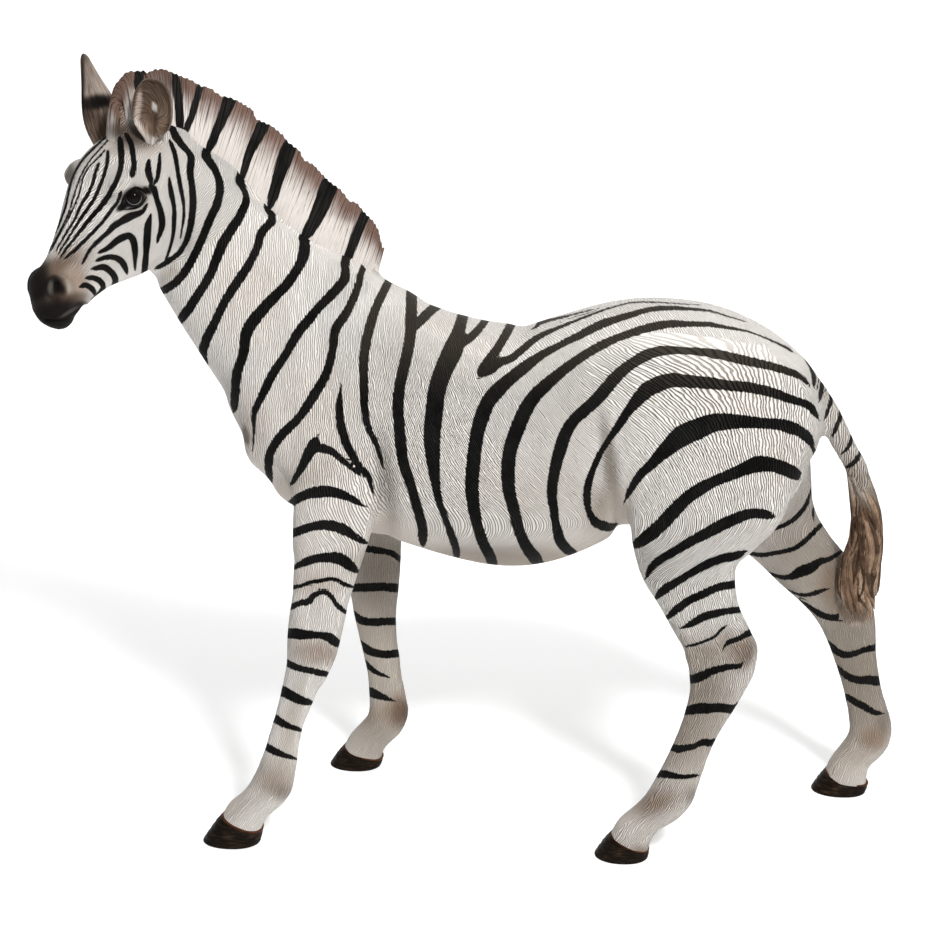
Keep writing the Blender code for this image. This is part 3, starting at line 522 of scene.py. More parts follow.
PATCHES: dict[Chart, tuple[Patch, ...]] = {
    Chart.NEAR: (
        # muzzle: tan above it, brown sides, black nostril and lips
        Patch(68, 264, 28, 18, TAN, 0.85, -32), Patch(77, 286, 14, 17, TAN, 0.85, 5, 2.0),
        Patch(50, 270, 24, 10, BROWN, 0.92, -34, 2.0), Patch(52, 292, 24, 24, BROWN, 0.97, 0, 2.5),
        Patch(37, 284, 12, 30, SOOT, 0.97, 12, 2.5), Patch(69.5, 290, 4, 11, BEIGE, 0.60, -12),
        Patch(42, 294, 8.5, 19, SOOT, 0.85, 10, 2.0), Patch(55.5, 289.5, 10.5, 14.5, SOOT, 1.0, -10, 6.0),
        # painted highlight inside the nostril
        Patch(52, 290, 3.5, 8, GREY, 0.35, -5, 2.0),
        Patch(66, 301, 26, 8, UMBER, 0.95, -12, 2.0), Patch(54, 317, 34, 19, SOOT, 1.0, -8, 4.0),
        Patch(80, 309, 10, 8, SOOT, 1.0, -40, 3.0), Patch(70, 311, 12, 1.8, GREY, 0.2, -32, 2.0),
        Patch(246, 435, 3.5, 11, SOOT, 1.0, -12, 4.0),
        # brow shadow under the forelock, painted shade on the far brow, and the ear's foot
        Patch(120, 150, 22, 6, BLUSH, 0.6), Patch(152, 147, 16, 8, BLUSH, 0.7),
        Patch(128, 134, 24, 14, UMBER, 0.95, 12, 2.0), Patch(145, 140, 9, 8, UMBER, 0.6),
        Patch(119, 112, 9, 15, TAN, 0.95, 0, 2.5), Patch(119, 100, 9, 12, UMBER, 0.7, 0, 2.0),
        Patch(68, 172, 7, 14, SHADE, 0.9, 0, 2.0),
        # around the eye
        Patch(136, 199, 19, 15, BLUSH, 0.45), Patch(134, 198, 14, 11.5, SOOT, 1.0, -12, 5.0),
        Patch(122.5, 207, 8, 4.2, SOOT, 1.0, -38, 4.0), Patch(147, 190.5, 6.5, 3.6, SOOT, 1.0, 35, 3.0),
        # cheek and jaw; the beige patch below the jaw is a painted shadow of the jaw on the neck
        Patch(186, 244, 9, 12, GREY, 0.35), Patch(172, 275, 10, 12, BEIGE, 0.6), Patch(150, 262, 30, 14, BLUSH, 0.25),
        # chest, belly, elbow and flank, with painted shade on the belly, behind the elbow and in the flank fold
        Patch(248, 420, 18, 36, BLUSH, 0.5), Patch(300, 480, 40, 16, BEIGE, 0.45, -20),
        Patch(385, 486, 10, 50, GREY, 0.75, -6), Patch(480, 562, 120, 17, SHADE, 0.90, 0, 1.8),
        Patch(611, 466, 8, 54, SHADE, 0.80, -9, 2.0), Patch(604, 512, 16, 22, BEIGE, 0.85, 15),
        Patch(627, 505, 8, 36, BEIGE, 0.55, 10), 
        # near fore leg
        Patch(318, 652, 27, 15, TAN, 0.72, 10), Patch(275, 782, 19, 15, TAN, 0.85), Patch(282, 792, 10, 9, UMBER, 0.6),
        Patch(320, 585, 26, 12, BLUSH, 0.6), Patch(292, 720, 9, 50, BEIGE, 0.65, 12),
        Patch(272, 770, 30, 22, BEIGE, 0.6), Patch(235, 805, 26, 14, BEIGE, 0.5, -30),
        # near hind leg
        Patch(742, 652, 14, 20, TAN, 0.9, 20), Patch(746, 656, 7, 15, UMBER, 0.45, 15), Patch(705, 655, 22, 11, TAN, 0.65, -10),
        Patch(725, 640, 12, 14, TAN, 0.5), Patch(655, 802, 26, 13, TAN, 0.85, -20), Patch(692, 796, 9, 10, UMBER, 0.6),
        Patch(644, 852, 14, 7, TAN, 0.7, 15), Patch(688, 715, 50, 75, BEIGE, 0.90, 20, 2.0),
        Patch(710, 692, 14, 34, SHADE, 0.35, 20), 
    ),
    Chart.FAR_FORE: (
        # far fore leg: the beige is partly its paint and partly painted shade, and the SHADE patches are painted shade
        Patch(385, 640, 60, 130, BEIGE, 0.90, 0, 3.0), Patch(400, 711, 15, 18, TAN, 0.95), Patch(402, 714, 12, 15, UMBER, 0.72),
        Patch(372, 716, 19, 13, TAN, 0.5), Patch(380, 560, 40, 40, SHADE, 0.6), Patch(375, 745, 30, 20, SHADE, 0.4),
    ),
    Chart.FAR_HIND: (
        # far hind leg: the beige is partly its paint and partly painted shade, and the SHADE patches are painted shade
        Patch(830, 640, 80, 150, BEIGE, 0.90, 0, 3.0), Patch(832, 580, 15, 24, TAN, 0.85),
        Patch(845, 600, 17, 17, TAN, 0.6), Patch(860, 660, 30, 90, SHADE, 0.62, -12, 2.0), Patch(874, 738, 16, 13, TAN, 0.85),
        Patch(884, 722, 8, 13, UMBER, 0.5),
        Patch(852, 758, 19, 9, BLUSH, 0.6), Patch(780, 530, 50, 60, SHADE, 0.45), Patch(860, 608, 24, 14, TAN, 0.9, 0, 2.5),
    ),
    Chart.TAIL: (
        Patch(868, 540, 40, 70, UMBER, 0.95), Patch(860, 610, 26, 18, TAN, 0.95, 0, 3.0),
        Patch(850, 478, 16, 16, TAN, 0.75), Patch(843, 440, 9, 60, BEIGE, 0.5, -20),
    ),
}
PATCHES[Chart.FAR_SIDE] = PATCHES[Chart.NEAR]

CARVINGS: dict[Chart, tuple[Carve, ...]] = {
    Chart.NEAR: (
        # mouth, lips and nostril
        Carve(-0.0036, 2.2, ((85, 306), (80, 314), (70, 320), (58, 322), (46, 320))),
        Carve(0.0016, 5.0, ((82, 318), (72, 326), (60, 328))),
        Carve(0.0012, 5.0, ((78, 305), (66, 313), (50, 315))),
        Carve(-0.0110, 4.6, ((59, 284), (57, 290), (54, 297))),
        Carve(0.0030, 3.4, ((65, 280), (68, 288), (66, 297), (60, 304))),
        Carve(0.0026, 3.4, ((63, 277), (54, 278), (48, 286), (46, 296))),
        # face: cheek edge, brow, the bone under the eye, the groove to the nostril
        Carve(-0.0032, 7.0, ((150, 283), (166, 266), (180, 250), (187, 232))),
        Carve(0.0028, 7.0, ((118, 190), (126, 181), (138, 178), (150, 182))),
        Carve(-0.0024, 5.0, ((112, 208), (122, 213), (134, 213), (146, 208))),
        Carve(0.0024, 6.0, ((108, 214), (98, 227), (88, 241), (78, 255))),
        Carve(-0.0021, 6.0, ((88, 216), (80, 232), (70, 248), (64, 262))),
        # foot of the mane
        Carve(-0.0039, 6.0, ((176, 136), (190, 145), (207, 158), (221, 172), (238, 180), (257, 196), (268, 206),
                             (281, 218), (301, 234), (342, 259), (353, 270), (364, 273))),
        # muscles of the neck and shoulder
        Carve(-0.0035, 15.0, ((250, 250), (265, 300), (280, 350), (268, 400))),
        Carve(-0.0044, 14.0, ((305, 300), (322, 345), (330, 390))),
        Carve(-0.0039, 12.0, ((268, 488), (285, 470), (292, 440), (286, 410))),
        Carve(-0.0049, 10.0, ((388, 530), (386, 500), (384, 470), (378, 440))),
        # flank fold and the front of the thigh
        Carve(-0.0075, 9.0, ((622, 532), (610, 505), (612, 478), (617, 450), (620, 424))),
        Carve(0.0038, 13.0, ((638, 530), (634, 490), (642, 455))),
        Carve(-0.0032, 12.0, ((770, 420), (762, 460), (748, 500))),
        # near fore leg: knee, tendon, fetlock, pastern
        Carve(0.0039, 13.0, ((306, 638), (308, 660))), Carve(-0.0028, 7.0, ((332, 640), (322, 664), (314, 690))),
        Carve(-0.0023, 5.0, ((318, 690), (304, 722), (292, 755))), Carve(0.0028, 9.0, ((284, 786),)),
        Carve(-0.0026, 7.0, ((262, 792), (252, 806))), Carve(-0.0024, 8.0, ((296, 560), (310, 590), (312, 616))),
        Carve(-0.0028, 9.0, ((350, 520), (346, 560), (340, 600))),
        # near hind leg: hock, cord, cannon, fetlock
        Carve(-0.0056, 6.5, ((733, 618), (730, 636), (728, 652))), Carve(0.0046, 9.0, ((748, 648),)),
        Carve(-0.0024, 6.0, ((736, 668), (722, 700), (706, 735), (690, 770))),
        Carve(0.0023, 6.0, ((715, 690), (700, 725), (682, 765))), Carve(0.0032, 9.0, ((682, 798),)),
        Carve(-0.0028, 8.0, ((660, 804), (646, 816))), Carve(-0.0035, 11.0, ((690, 600), (704, 630), (704, 652))),
        Carve(0.0032, 9.0, ((690, 660), (694, 676))),
    ),
    Chart.FAR_FORE: (
        Carve(0.0028, 10.0, ((376, 640), (380, 660))), Carve(-0.0024, 5.0, ((396, 668), (398, 690), (400, 706))),
        Carve(0.0028, 8.0, ((400, 714),)), Carve(-0.0024, 7.0, ((384, 728), (372, 738))),
    ),
    Chart.FAR_HIND: (
        Carve(-0.0049, 6.0, ((838, 560), (838, 580), (840, 598))), Carve(0.0035, 10.0, ((826, 580), (840, 606))),
        Carve(-0.0028, 5.0, ((862, 640), (868, 670), (872, 700))), Carve(0.0032, 8.0, ((876, 740),)),
        Carve(-0.0024, 7.0, ((864, 752), (852, 762))),
    ),
    Chart.TAIL: (),
}
CARVINGS[Chart.FAR_SIDE] = CARVINGS[Chart.NEAR]


@dataclass
class Skin:
    """A mesh as arrays, worked on before it becomes an object."""
    co: Array
    edges: Array

    @classmethod
    def of(cls, mesh: bpy.types.Mesh) -> "Skin":
        """Reads a mesh.

        Args:
            mesh: the mesh to read.

        Returns:
            Its vertices and edges.
        """
        co = np.empty(len(mesh.vertices) * 3)
        mesh.vertices.foreach_get("co", co)
        edges = np.empty(len(mesh.edges) * 2, dtype=np.int64)
        mesh.edges.foreach_get("vertices", edges)
        return cls(co.reshape(-1, 3), edges.reshape(-1, 2))

    def relax(self, rounds: int, share: Array | float = 1.0, inflate: float = -0.53) -> None:
        """Smooths the vertices with little loss of volume.

        Args:
            rounds: number of pairs of passes.
            share: how far each vertex follows, 0 to 1.
            inflate: the second pass of each pair, which gives the volume back.
        """
        a, b = self.edges.T
        count = len(self.co)
        links = np.bincount(np.concatenate((a, b)), minlength=count).astype(float)
        links = np.maximum(links, 1.0)
        share = np.broadcast_to(np.asarray(share, float), (count,))
        for _ in range(rounds):
            for step in (0.5, inflate):
                for k in range(3):
                    values = self.co[:, k]
                    total = np.bincount(a, values[b], count) + np.bincount(b, values[a], count)
                    self.co[:, k] = values + step * share * (total / links - values)

    def store(self, mesh: bpy.types.Mesh) -> None:
        """Writes the vertices back.

        Args:
            mesh: the mesh that was read.
        """
        mesh.vertices.foreach_set("co", self.co.ravel())
        mesh.update()


def vertex_normals(mesh: bpy.types.Mesh) -> Array:
    """Normals of a mesh's vertices.

    Args:
        mesh: the mesh.

    Returns:
        Rows of unit vectors.
    """
    found = np.empty(len(mesh.vertices) * 3)
    mesh.vertex_normals.foreach_get("vector", found)
    return found.reshape(-1, 3)


def put_attribute(mesh: bpy.types.Mesh, name: str, values: Array) -> None:
    """Stores one value for each vertex.

    Args:
        mesh: the mesh.
        name: attribute name, as the material reads it.
        values: a row of numbers, or rows of three, for vectors and colours.
    """
    kind = "FLOAT" if values.ndim == 1 else "FLOAT_VECTOR"
    item = mesh.attributes.new(name, kind, "POINT")
    item.data.foreach_set("value" if values.ndim == 1 else "vector", values.astype(np.float32).ravel())


def add_piece(name: str, mesh: bpy.types.Mesh, material: bpy.types.Material,
              replaces: Iterable[str] = ()) -> bpy.types.Object:
    """Makes a mesh a visible piece of the figure.

    Args:
        name: name of the piece.
        mesh: its mesh, in the frame's place.
        material: its finish.
        replaces: CAD nodes that it stands for.

    Returns:
        The object.
    """
    piece = bpy.data.objects.new(name, mesh)
    bpy.context.scene.collection.objects.link(piece)
    mesh.materials.clear()
    mesh.materials.append(material)
    for polygon in mesh.polygons:
        polygon.use_smooth = True
    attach(piece, BODY)
    for node in replaces:
        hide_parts(node)
    triangles = sum(len(polygon.vertices) - 2 for polygon in mesh.polygons)
    log.info("%s: %d triangles", name, triangles)
    return piece


def grid_mesh(name: str, rings: Array, ends: str = "both") -> bpy.types.Mesh:
    """A closed tube through rings of points.

    Args:
        name: mesh name.
        rings: array of ring, point, coordinate.
        ends: which ends are closed: both, first, last or none.

    Returns:
        The mesh. Vertices run ring by ring, then the hubs of the closed ends.
    """
    rows, around, _ = rings.shape
    verts = list(map(tuple, rings.reshape(-1, 3)))
    faces = []
    for r in range(rows - 1):
        for k in range(around):
            n = (k + 1) % around
            faces.append((r * around + k, r * around + n, (r + 1) * around + n, (r + 1) * around + k))
    for end, row, wanted in (("first", 0, ends in ("both", "first")), ("last", rows - 1, ends in ("both", "last"))):
        if not wanted:
            continue
        hub = len(verts)
        verts.append(tuple(rings[row].mean(0)))
        for k in range(around):
            n = (k + 1) % around
            pair = (row * around + n, row * around + k) if end == "first" else (row * around + k, row * around + n)
            faces.append((*pair, hub))
    mesh = bpy.data.meshes.new(name)
    mesh.from_pydata(verts, [], faces)
    mesh.update()
    return mesh


def painted(flat: Array, strokes: Sequence[Stroke], thin: Array | float, reach: float = 26.0) -> Array:
    """Nearest stroke to each point of one chart.

    A stroke thinner than the distance between vertices shows where the signed offset passes zero. The guard
    keeps that test to places that a stroke reaches. Wider strokes need no sign, and meet cleanly without it.

    Args:
        flat: rows of picture x and y.
        strokes: the chart's strokes.
        thin: half width below which a stroke may fall between the vertices.
        reach: picture units within which a stroke counts.

    Returns:
        Rows of the signed offset from the stroke's centre line, its half width, and the guard.
    """
    found = np.tile(np.array(((40.0,), (1.0,), (40.0,))), len(flat))
    for stroke in strokes:
        line = stroke.line()
        low = line[:, :2].min(0) - reach
        high = line[:, :2].max(0) + reach
        near = np.nonzero(((flat > low) & (flat < high)).all(1))[0]
        for part in np.array_split(near, max(1, len(near) // 4000)):
            if not len(part):
                continue
            here = np.stack(line_distance(flat[part], line))
            better = here[2] - here[1] < found[2, part] - found[1, part]
            found[:, part[better]] = here[:, better]
    found[2] -= np.maximum(found[1], thin)
    found[0] = np.where(found[1] > 0.95 * thin, np.abs(found[0]), found[0])
    return found


def put_stripes(mesh: bpy.types.Mesh, stripes: Array) -> None:
    """Stores the painted strokes for stripe_mask.

    Args:
        mesh: the mesh.
        stripes: rows as painted gives them.
    """
    for name, values in zip(("stripe_offset", "stripe_half", "stripe_guard"), stripes):
        put_attribute(mesh, name, values)


@dataclass
class Atlas:
    """Which chart and picture place each vertex of the casting is painted from."""
    co: Array
    normals: Array
    chart: Array = field(init=False)
    flat: Array = field(init=False)
    head: Array = field(init=False)
    leg: Array = field(init=False)

    def __post_init__(self) -> None:
        """Sorts the vertices by body part and side."""
        own = self.co - TABLE_ORIGIN
        off = self.co - HEAD_AT
        along, left, brow = off @ HEAD_ALONG, off @ HEAD_LEFT, off @ HEAD_BROW
        self.head = smooth(brow, -0.112, -0.088) * smooth(along, -0.035, -0.005) * smooth(own[:, 2], 0.66, 0.69)
        facing = ((np.array(VIEW.eye) - self.co) * self.normals).sum(1) > 0.0
        middle = np.interp(own[:, 2], NECK_HEIGHTS, NECK_MIDDLES)
        middle = np.where(own[:, 0] > -0.05, 0.0, middle)
        upper = own[:, 2] > 0.60
        direct = (own[:, 1] < middle) | (facing & upper)
        in_head = self.head > 0.5
        direct = np.where(in_head, (left > 0.0) | facing, direct)

        mirrored = self.co.copy()
        mirrored[:, 1] = 2.0 * (middle + TABLE_ORIGIN[1]) - mirrored[:, 1]
        hind_far = (own[:, 1] > 0.03) & (own[:, 0] > 0.12)
        shift = self.leg_shift(own[:, 2], LEG_FAR_HIND, LEG_NEAR_HIND)
        mirrored[:, 0] -= np.where(hind_far, shift, 0.0)
        across = off - 2.0 * left[:, None] * HEAD_LEFT
        mirrored[in_head] = (HEAD_AT + across)[in_head]

        self.chart = np.where(direct | in_head, Chart.NEAR.value, Chart.FAR_SIDE.value)
        fore_far = (own[:, 1] > 0.03) & (own[:, 0] < -0.05) & (own[:, 2] < 0.40)
        inner = self.normals[:, 1] < 0.25
        hind_far_seen = hind_far & (own[:, 0] > 0.19) & (own[:, 2] < np.where(inner, 0.50, 0.385))
        self.chart[fore_far] = Chart.FAR_FORE.value
        self.chart[hind_far_seen] = Chart.FAR_HIND.value
        tail = np.array(TAIL)[:, :3]
        gap = np.full(len(own), 1.0)
        behind = own[:, 0] > 0.428
        fine = spline(tail, 3)
        for point in fine:
            gap[behind] = np.minimum(gap[behind], np.linalg.norm(own[behind] - point, axis=1))
        on_tail = behind & (gap < 0.027) & ~((own[:, 2] < 0.33) & (own[:, 1] > 0.085))
        self.chart[on_tail] = Chart.TAIL.value
        direct = direct | np.isin(self.chart, (Chart.FAR_FORE.value, Chart.FAR_HIND.value, Chart.TAIL.value))
        self.flat = VIEW.project(np.where(direct[:, None], self.co, mirrored))
        self.leg = self.leg_number(own)

    @staticmethod
    def leg_shift(z: Array, far: tuple, near: tuple) -> Array:
        """How much further back the far leg is than the near one.

        Args:
            z: heights.
            far: centre line of the far leg.
            near: centre line of the near leg.

        Returns:
            Metres along X at each height.
        """
        lines = [np.array(line) for line in (far, near)]
        found = [np.interp(z, line[:, 0], line[:, 1]) for line in lines]
        return (found[0] - found[1]) * smooth(z, 0.60, 0.50)

    @staticmethod
    def leg_number(own: Array) -> Array:
        """Which leg a place belongs to.

        Args:
            own: places in the tables' frame.

        Returns:
            0 to 3: near fore, far fore, near hind, far hind.
        """
        return (own[:, 1] > 0.0).astype(int) + 2 * (own[:, 0] > 0.10).astype(int)

    def each(self) -> Iterable[tuple[Chart, Array]]:
        """The charts in turn.

        Yields:
            A chart and the numbers of its vertices.
        """
        for chart in Chart:
            yield chart, np.nonzero(self.chart == chart.value)[0]


class Shader:
    """Short calls for building a material's node tree."""

    def __init__(self, name: str) -> None:
        self.material = bpy.data.materials.new(name)
        self.material.use_nodes = True
        self.tree = self.material.node_tree
        self.tree.nodes.clear()
        self.surface = self.tree.nodes.new("ShaderNodeBsdfPrincipled")
        output = self.tree.nodes.new("ShaderNodeOutputMaterial")
        self.tree.links.new(self.surface.outputs[0], output.inputs[0])

    def feed(self, socket: bpy.types.NodeSocket, value: object) -> None:
        """Links a socket to another, or sets a constant on it.

        Args:
            socket: the input.
            value: an output socket, a number or a sequence of numbers.
        """
        if isinstance(value, bpy.types.NodeSocket):
            self.tree.links.new(value, socket)
        elif isinstance(value, (tuple, list)):
            room = len(socket.default_value)
            socket.default_value = (tuple(value) + (1.0,))[:room]
        else:
            socket.default_value = value

    def attribute(self, name: str, vector: bool = False) -> bpy.types.NodeSocket:
        """Reads a vertex attribute.

        Args:
            name: attribute name.
            vector: whether it holds three numbers.

        Returns:
            The socket with its value.
        """
        node = self.tree.nodes.new("ShaderNodeAttribute")
        node.attribute_name = name
        return node.outputs["Vector" if vector else "Fac"]

    def math(self, kind: str, a: object, b: object = 0.0, c: object = 0.0) -> bpy.types.NodeSocket:
        """One calculation.

        Args:
            kind: Blender's name of the operation.
            a: first value.
            b: second value.
            c: third value.

        Returns:
            The result.
        """
        node = self.tree.nodes.new("ShaderNodeMath")
        node.operation = kind
        for socket, value in zip(node.inputs, (a, b, c)):
            self.feed(socket, value)
        return node.outputs[0]

    def step(self, value: object, low: float, high: float, to_low: float = 0.0,
             to_high: float = 1.0) -> bpy.types.NodeSocket:
        """A soft step.

        Args:
            value: what it steps on.
            low: where it starts.
            high: where it ends.
            to_low: result at the start.
            to_high: result at the end.

        Returns:
            The result.
        """
        node = self.tree.nodes.new("ShaderNodeMapRange")
        node.interpolation_type = "SMOOTHSTEP"
        for key, item in (("Value", value), ("From Min", low), ("From Max", high), ("To Min", to_low),
                          ("To Max", to_high)):
            self.feed(node.inputs[key], item)
        return node.outputs[0]

    def mix(self, share: object, a: object, b: object) -> bpy.types.NodeSocket:
        """A colour between two.

        Args:
            share: 0 for the first, 1 for the second.
            a: first colour.
            b: second colour.

        Returns:
            The colour.
        """
        node = self.tree.nodes.new("ShaderNodeMix")
        node.data_type = "RGBA"
        self.feed(node.inputs[0], share)
        self.feed(node.inputs[6], a)
        self.feed(node.inputs[7], b)
        return node.outputs[2]

    def times(self, share: object, a: object, b: object) -> bpy.types.NodeSocket:
        """A colour darkened by another.

        Args:
            share: 0 leaves the first as it is, 1 multiplies it by the second.
            a: first colour.
            b: second colour.

        Returns:
            The colour.
        """
        socket = self.mix(share, a, b)
        socket.node.blend_type = "MULTIPLY"
        return socket

    def light(self, colour: object) -> bpy.types.NodeSocket:
        """How light a colour is.

        Args:
            colour: the colour.

        Returns:
            Its lightness, 0 to 1.
        """
        node = self.tree.nodes.new("ShaderNodeRGBToBW")
        self.feed(node.inputs[0], colour)
        return node.outputs[0]

    def choose(self, share: object, a: object, b: object, edge: object = 0.5) -> bpy.types.NodeSocket:
        """One of two vectors, never between them.

        Args:
            share: below the edge the first is taken.
            a: first vector.
            b: second vector.
            edge: where it changes over.

        Returns:
            The vector.
        """
        node = self.tree.nodes.new("ShaderNodeMix")
        node.data_type = "VECTOR"
        self.feed(node.inputs[0], self.math("GREATER_THAN", share, edge))
        self.feed(node.inputs[4], a)
        self.feed(node.inputs[5], b)
        return node.outputs[1]

    def blend(self, share: object, a: object, b: object) -> bpy.types.NodeSocket:
        """A number between two.

        Args:
            share: 0 for the first, 1 for the second.
            a: first number.
            b: second number.

        Returns:
            The number.
        """
        node = self.tree.nodes.new("ShaderNodeMix")
        node.data_type = "FLOAT"
        self.feed(node.inputs[0], share)
        self.feed(node.inputs[2], a)
        self.feed(node.inputs[3], b)
        return node.outputs[0]

    def scaled(self, vector: object, scale: tuple[float, float, float],
               shift: tuple[float, float, float] = (0.0, 0.0, 0.0)) -> bpy.types.NodeSocket:
        """A vector stretched and moved.

        Args:
            vector: the vector.
            scale: factor on each axis.
            shift: what is added.

        Returns:
            The new vector.
        """
        node = self.tree.nodes.new("ShaderNodeMapping")
        self.feed(node.inputs["Vector"], vector)
        self.feed(node.inputs["Scale"], scale)
        self.feed(node.inputs["Location"], shift)
        return node.outputs[0]

    def noise(self, vector: object, scale: float = 1.0, detail: float = 2.0, rough: float = 0.5,
              distort: float = 0.0) -> bpy.types.NodeSocket:
        """Procedural noise.

        Args:
            vector: where it is looked up.
            scale: how fine it is.
            detail: finer layers.
            rough: how strong those are.
            distort: how much it is warped.

        Returns:
            A value about 0.5.
        """
        node = self.tree.nodes.new("ShaderNodeTexNoise")
        self.feed(node.inputs["Vector"], vector)
        for key, item in (("Scale", scale), ("Detail", detail), ("Roughness", rough), ("Distortion", distort)):
            self.feed(node.inputs[key], item)
        return node.outputs["Fac"]

    def bent(self, vector: object, scale: float, reach: float) -> bpy.types.NodeSocket:
        """A vector that wanders, so that hair drawn along it curves.

        Args:
            vector: the vector, in metres.
            scale: how often it wanders, per metre.
            reach: how far, in metres.

        Returns:
            The new vector.
        """
        node = self.tree.nodes.new("ShaderNodeVectorMath")
        node.operation = "ADD"
        self.feed(node.inputs[0], vector)
        wander = self.tree.nodes.new("ShaderNodeCombineXYZ")
        drift = self.math("MULTIPLY", self.math("SUBTRACT", self.noise(vector, scale, 1.0), 0.5), 4.0 * reach)
        self.feed(wander.inputs[0], drift)
        self.feed(node.inputs[1], wander.outputs[0])
        return node.outputs[0]

    def place(self) -> bpy.types.NodeSocket:
        """Where a point of the piece is.

        Returns:
            Its object coordinates.
        """
        return self.tree.nodes.new("ShaderNodeTexCoord").outputs["Object"]

    def grooves(self, vector: object, across: float, along: float) -> bpy.types.NodeSocket:
        """Tooled hair with sharp grooves side by side, which wander a little.

        Args:
            vector: places across the hair, in depth and along it, in metres.
            across: distance between grooves, metres.
            along: how far a groove runs before it wanders, metres.

        Returns:
            0 in a groove and 1 on the ridges.
        """
        split = self.tree.nodes.new("ShaderNodeSeparateXYZ")
        self.feed(split.inputs[0], vector)
        wander = self.noise(self.scaled(vector, (0.35 / across, 1.0 / along, 1.0 / along)), 1.0, 2.0)
        phase = self.math("MULTIPLY_ADD", split.outputs[0], math.pi / across, self.math("MULTIPLY", wander, 6.5))
        return self.math("ABSOLUTE", self.math("SINE", phase))

    def strokes(self, vector: object, across: float, along: float, detail: float = 2.0) -> bpy.types.NodeSocket:
        """Tooled hair: ridges that are long on the vector's third axis.

        Args:
            vector: places across the hair, in depth and along it, in metres.
            across: how wide a hair stroke is, metres.
            along: how long it is, metres.
            detail: finer layers.

        Returns:
            Height between 0 and 1.
        """
        long_scale = 1.0 / along
        wide_scale = 1.0 / across
        return self.noise(self.scaled(vector, (wide_scale, long_scale, long_scale)), 1.0, detail, 0.55, 0.35)

    def finish(self, colour: object, roughness: object, height: object = None, depth: object = 0.001,
               strength: float = 1.0, shine: float | None = None) -> bpy.types.Material:
        """Connects the surface.

        Args:
            colour: base colour.
            roughness: how dull it is.
            height: bump height between 0 and 1.
            depth: metres that a height of 1 stands for.
            strength: share of the bump.
            shine: specular level; None makes dark paint duller than pale paint.

        Returns:
            The material.
        """
        self.feed(self.surface.inputs["Base Color"], colour)
        self.feed(self.surface.inputs["Roughness"], roughness)
        if shine is None:
            shine = self.step(self.light(colour), 0.0, 0.25, 0.03, 0.25)
        self.feed(self.surface.inputs["Specular IOR Level"], shine)
        if height is not None:
            bump = self.tree.nodes.new("ShaderNodeBump")
            self.feed(bump.inputs["Strength"], strength)
            self.feed(bump.inputs["Distance"], depth)
            self.feed(bump.inputs["Height"], height)
            self.tree.links.new(bump.outputs[0], self.surface.inputs["Normal"])
        return self.material


def stripe_mask(shader: Shader, grain: object, ragged: object = 2.2) -> bpy.types.NodeSocket:
    """Where the black strokes are, with brushed edges.

    Args:
        shader: the material being built.
        grain: noise about 0.5 that frays the edge.
        ragged: how far the edge frays, picture units.

    Returns:
        1 on a stroke and 0 off it.
    """
    offset = shader.math("ABSOLUTE", shader.attribute("stripe_offset"))
    inside = shader.math("SUBTRACT", offset, shader.attribute("stripe_half"))
    edge = shader.math("MAXIMUM", inside, shader.attribute("stripe_guard"))
    fray = shader.math("MULTIPLY", shader.math("SUBTRACT", grain, 0.5), ragged)
    return shader.step(shader.math("ADD", edge, fray), 0.45, -0.45)


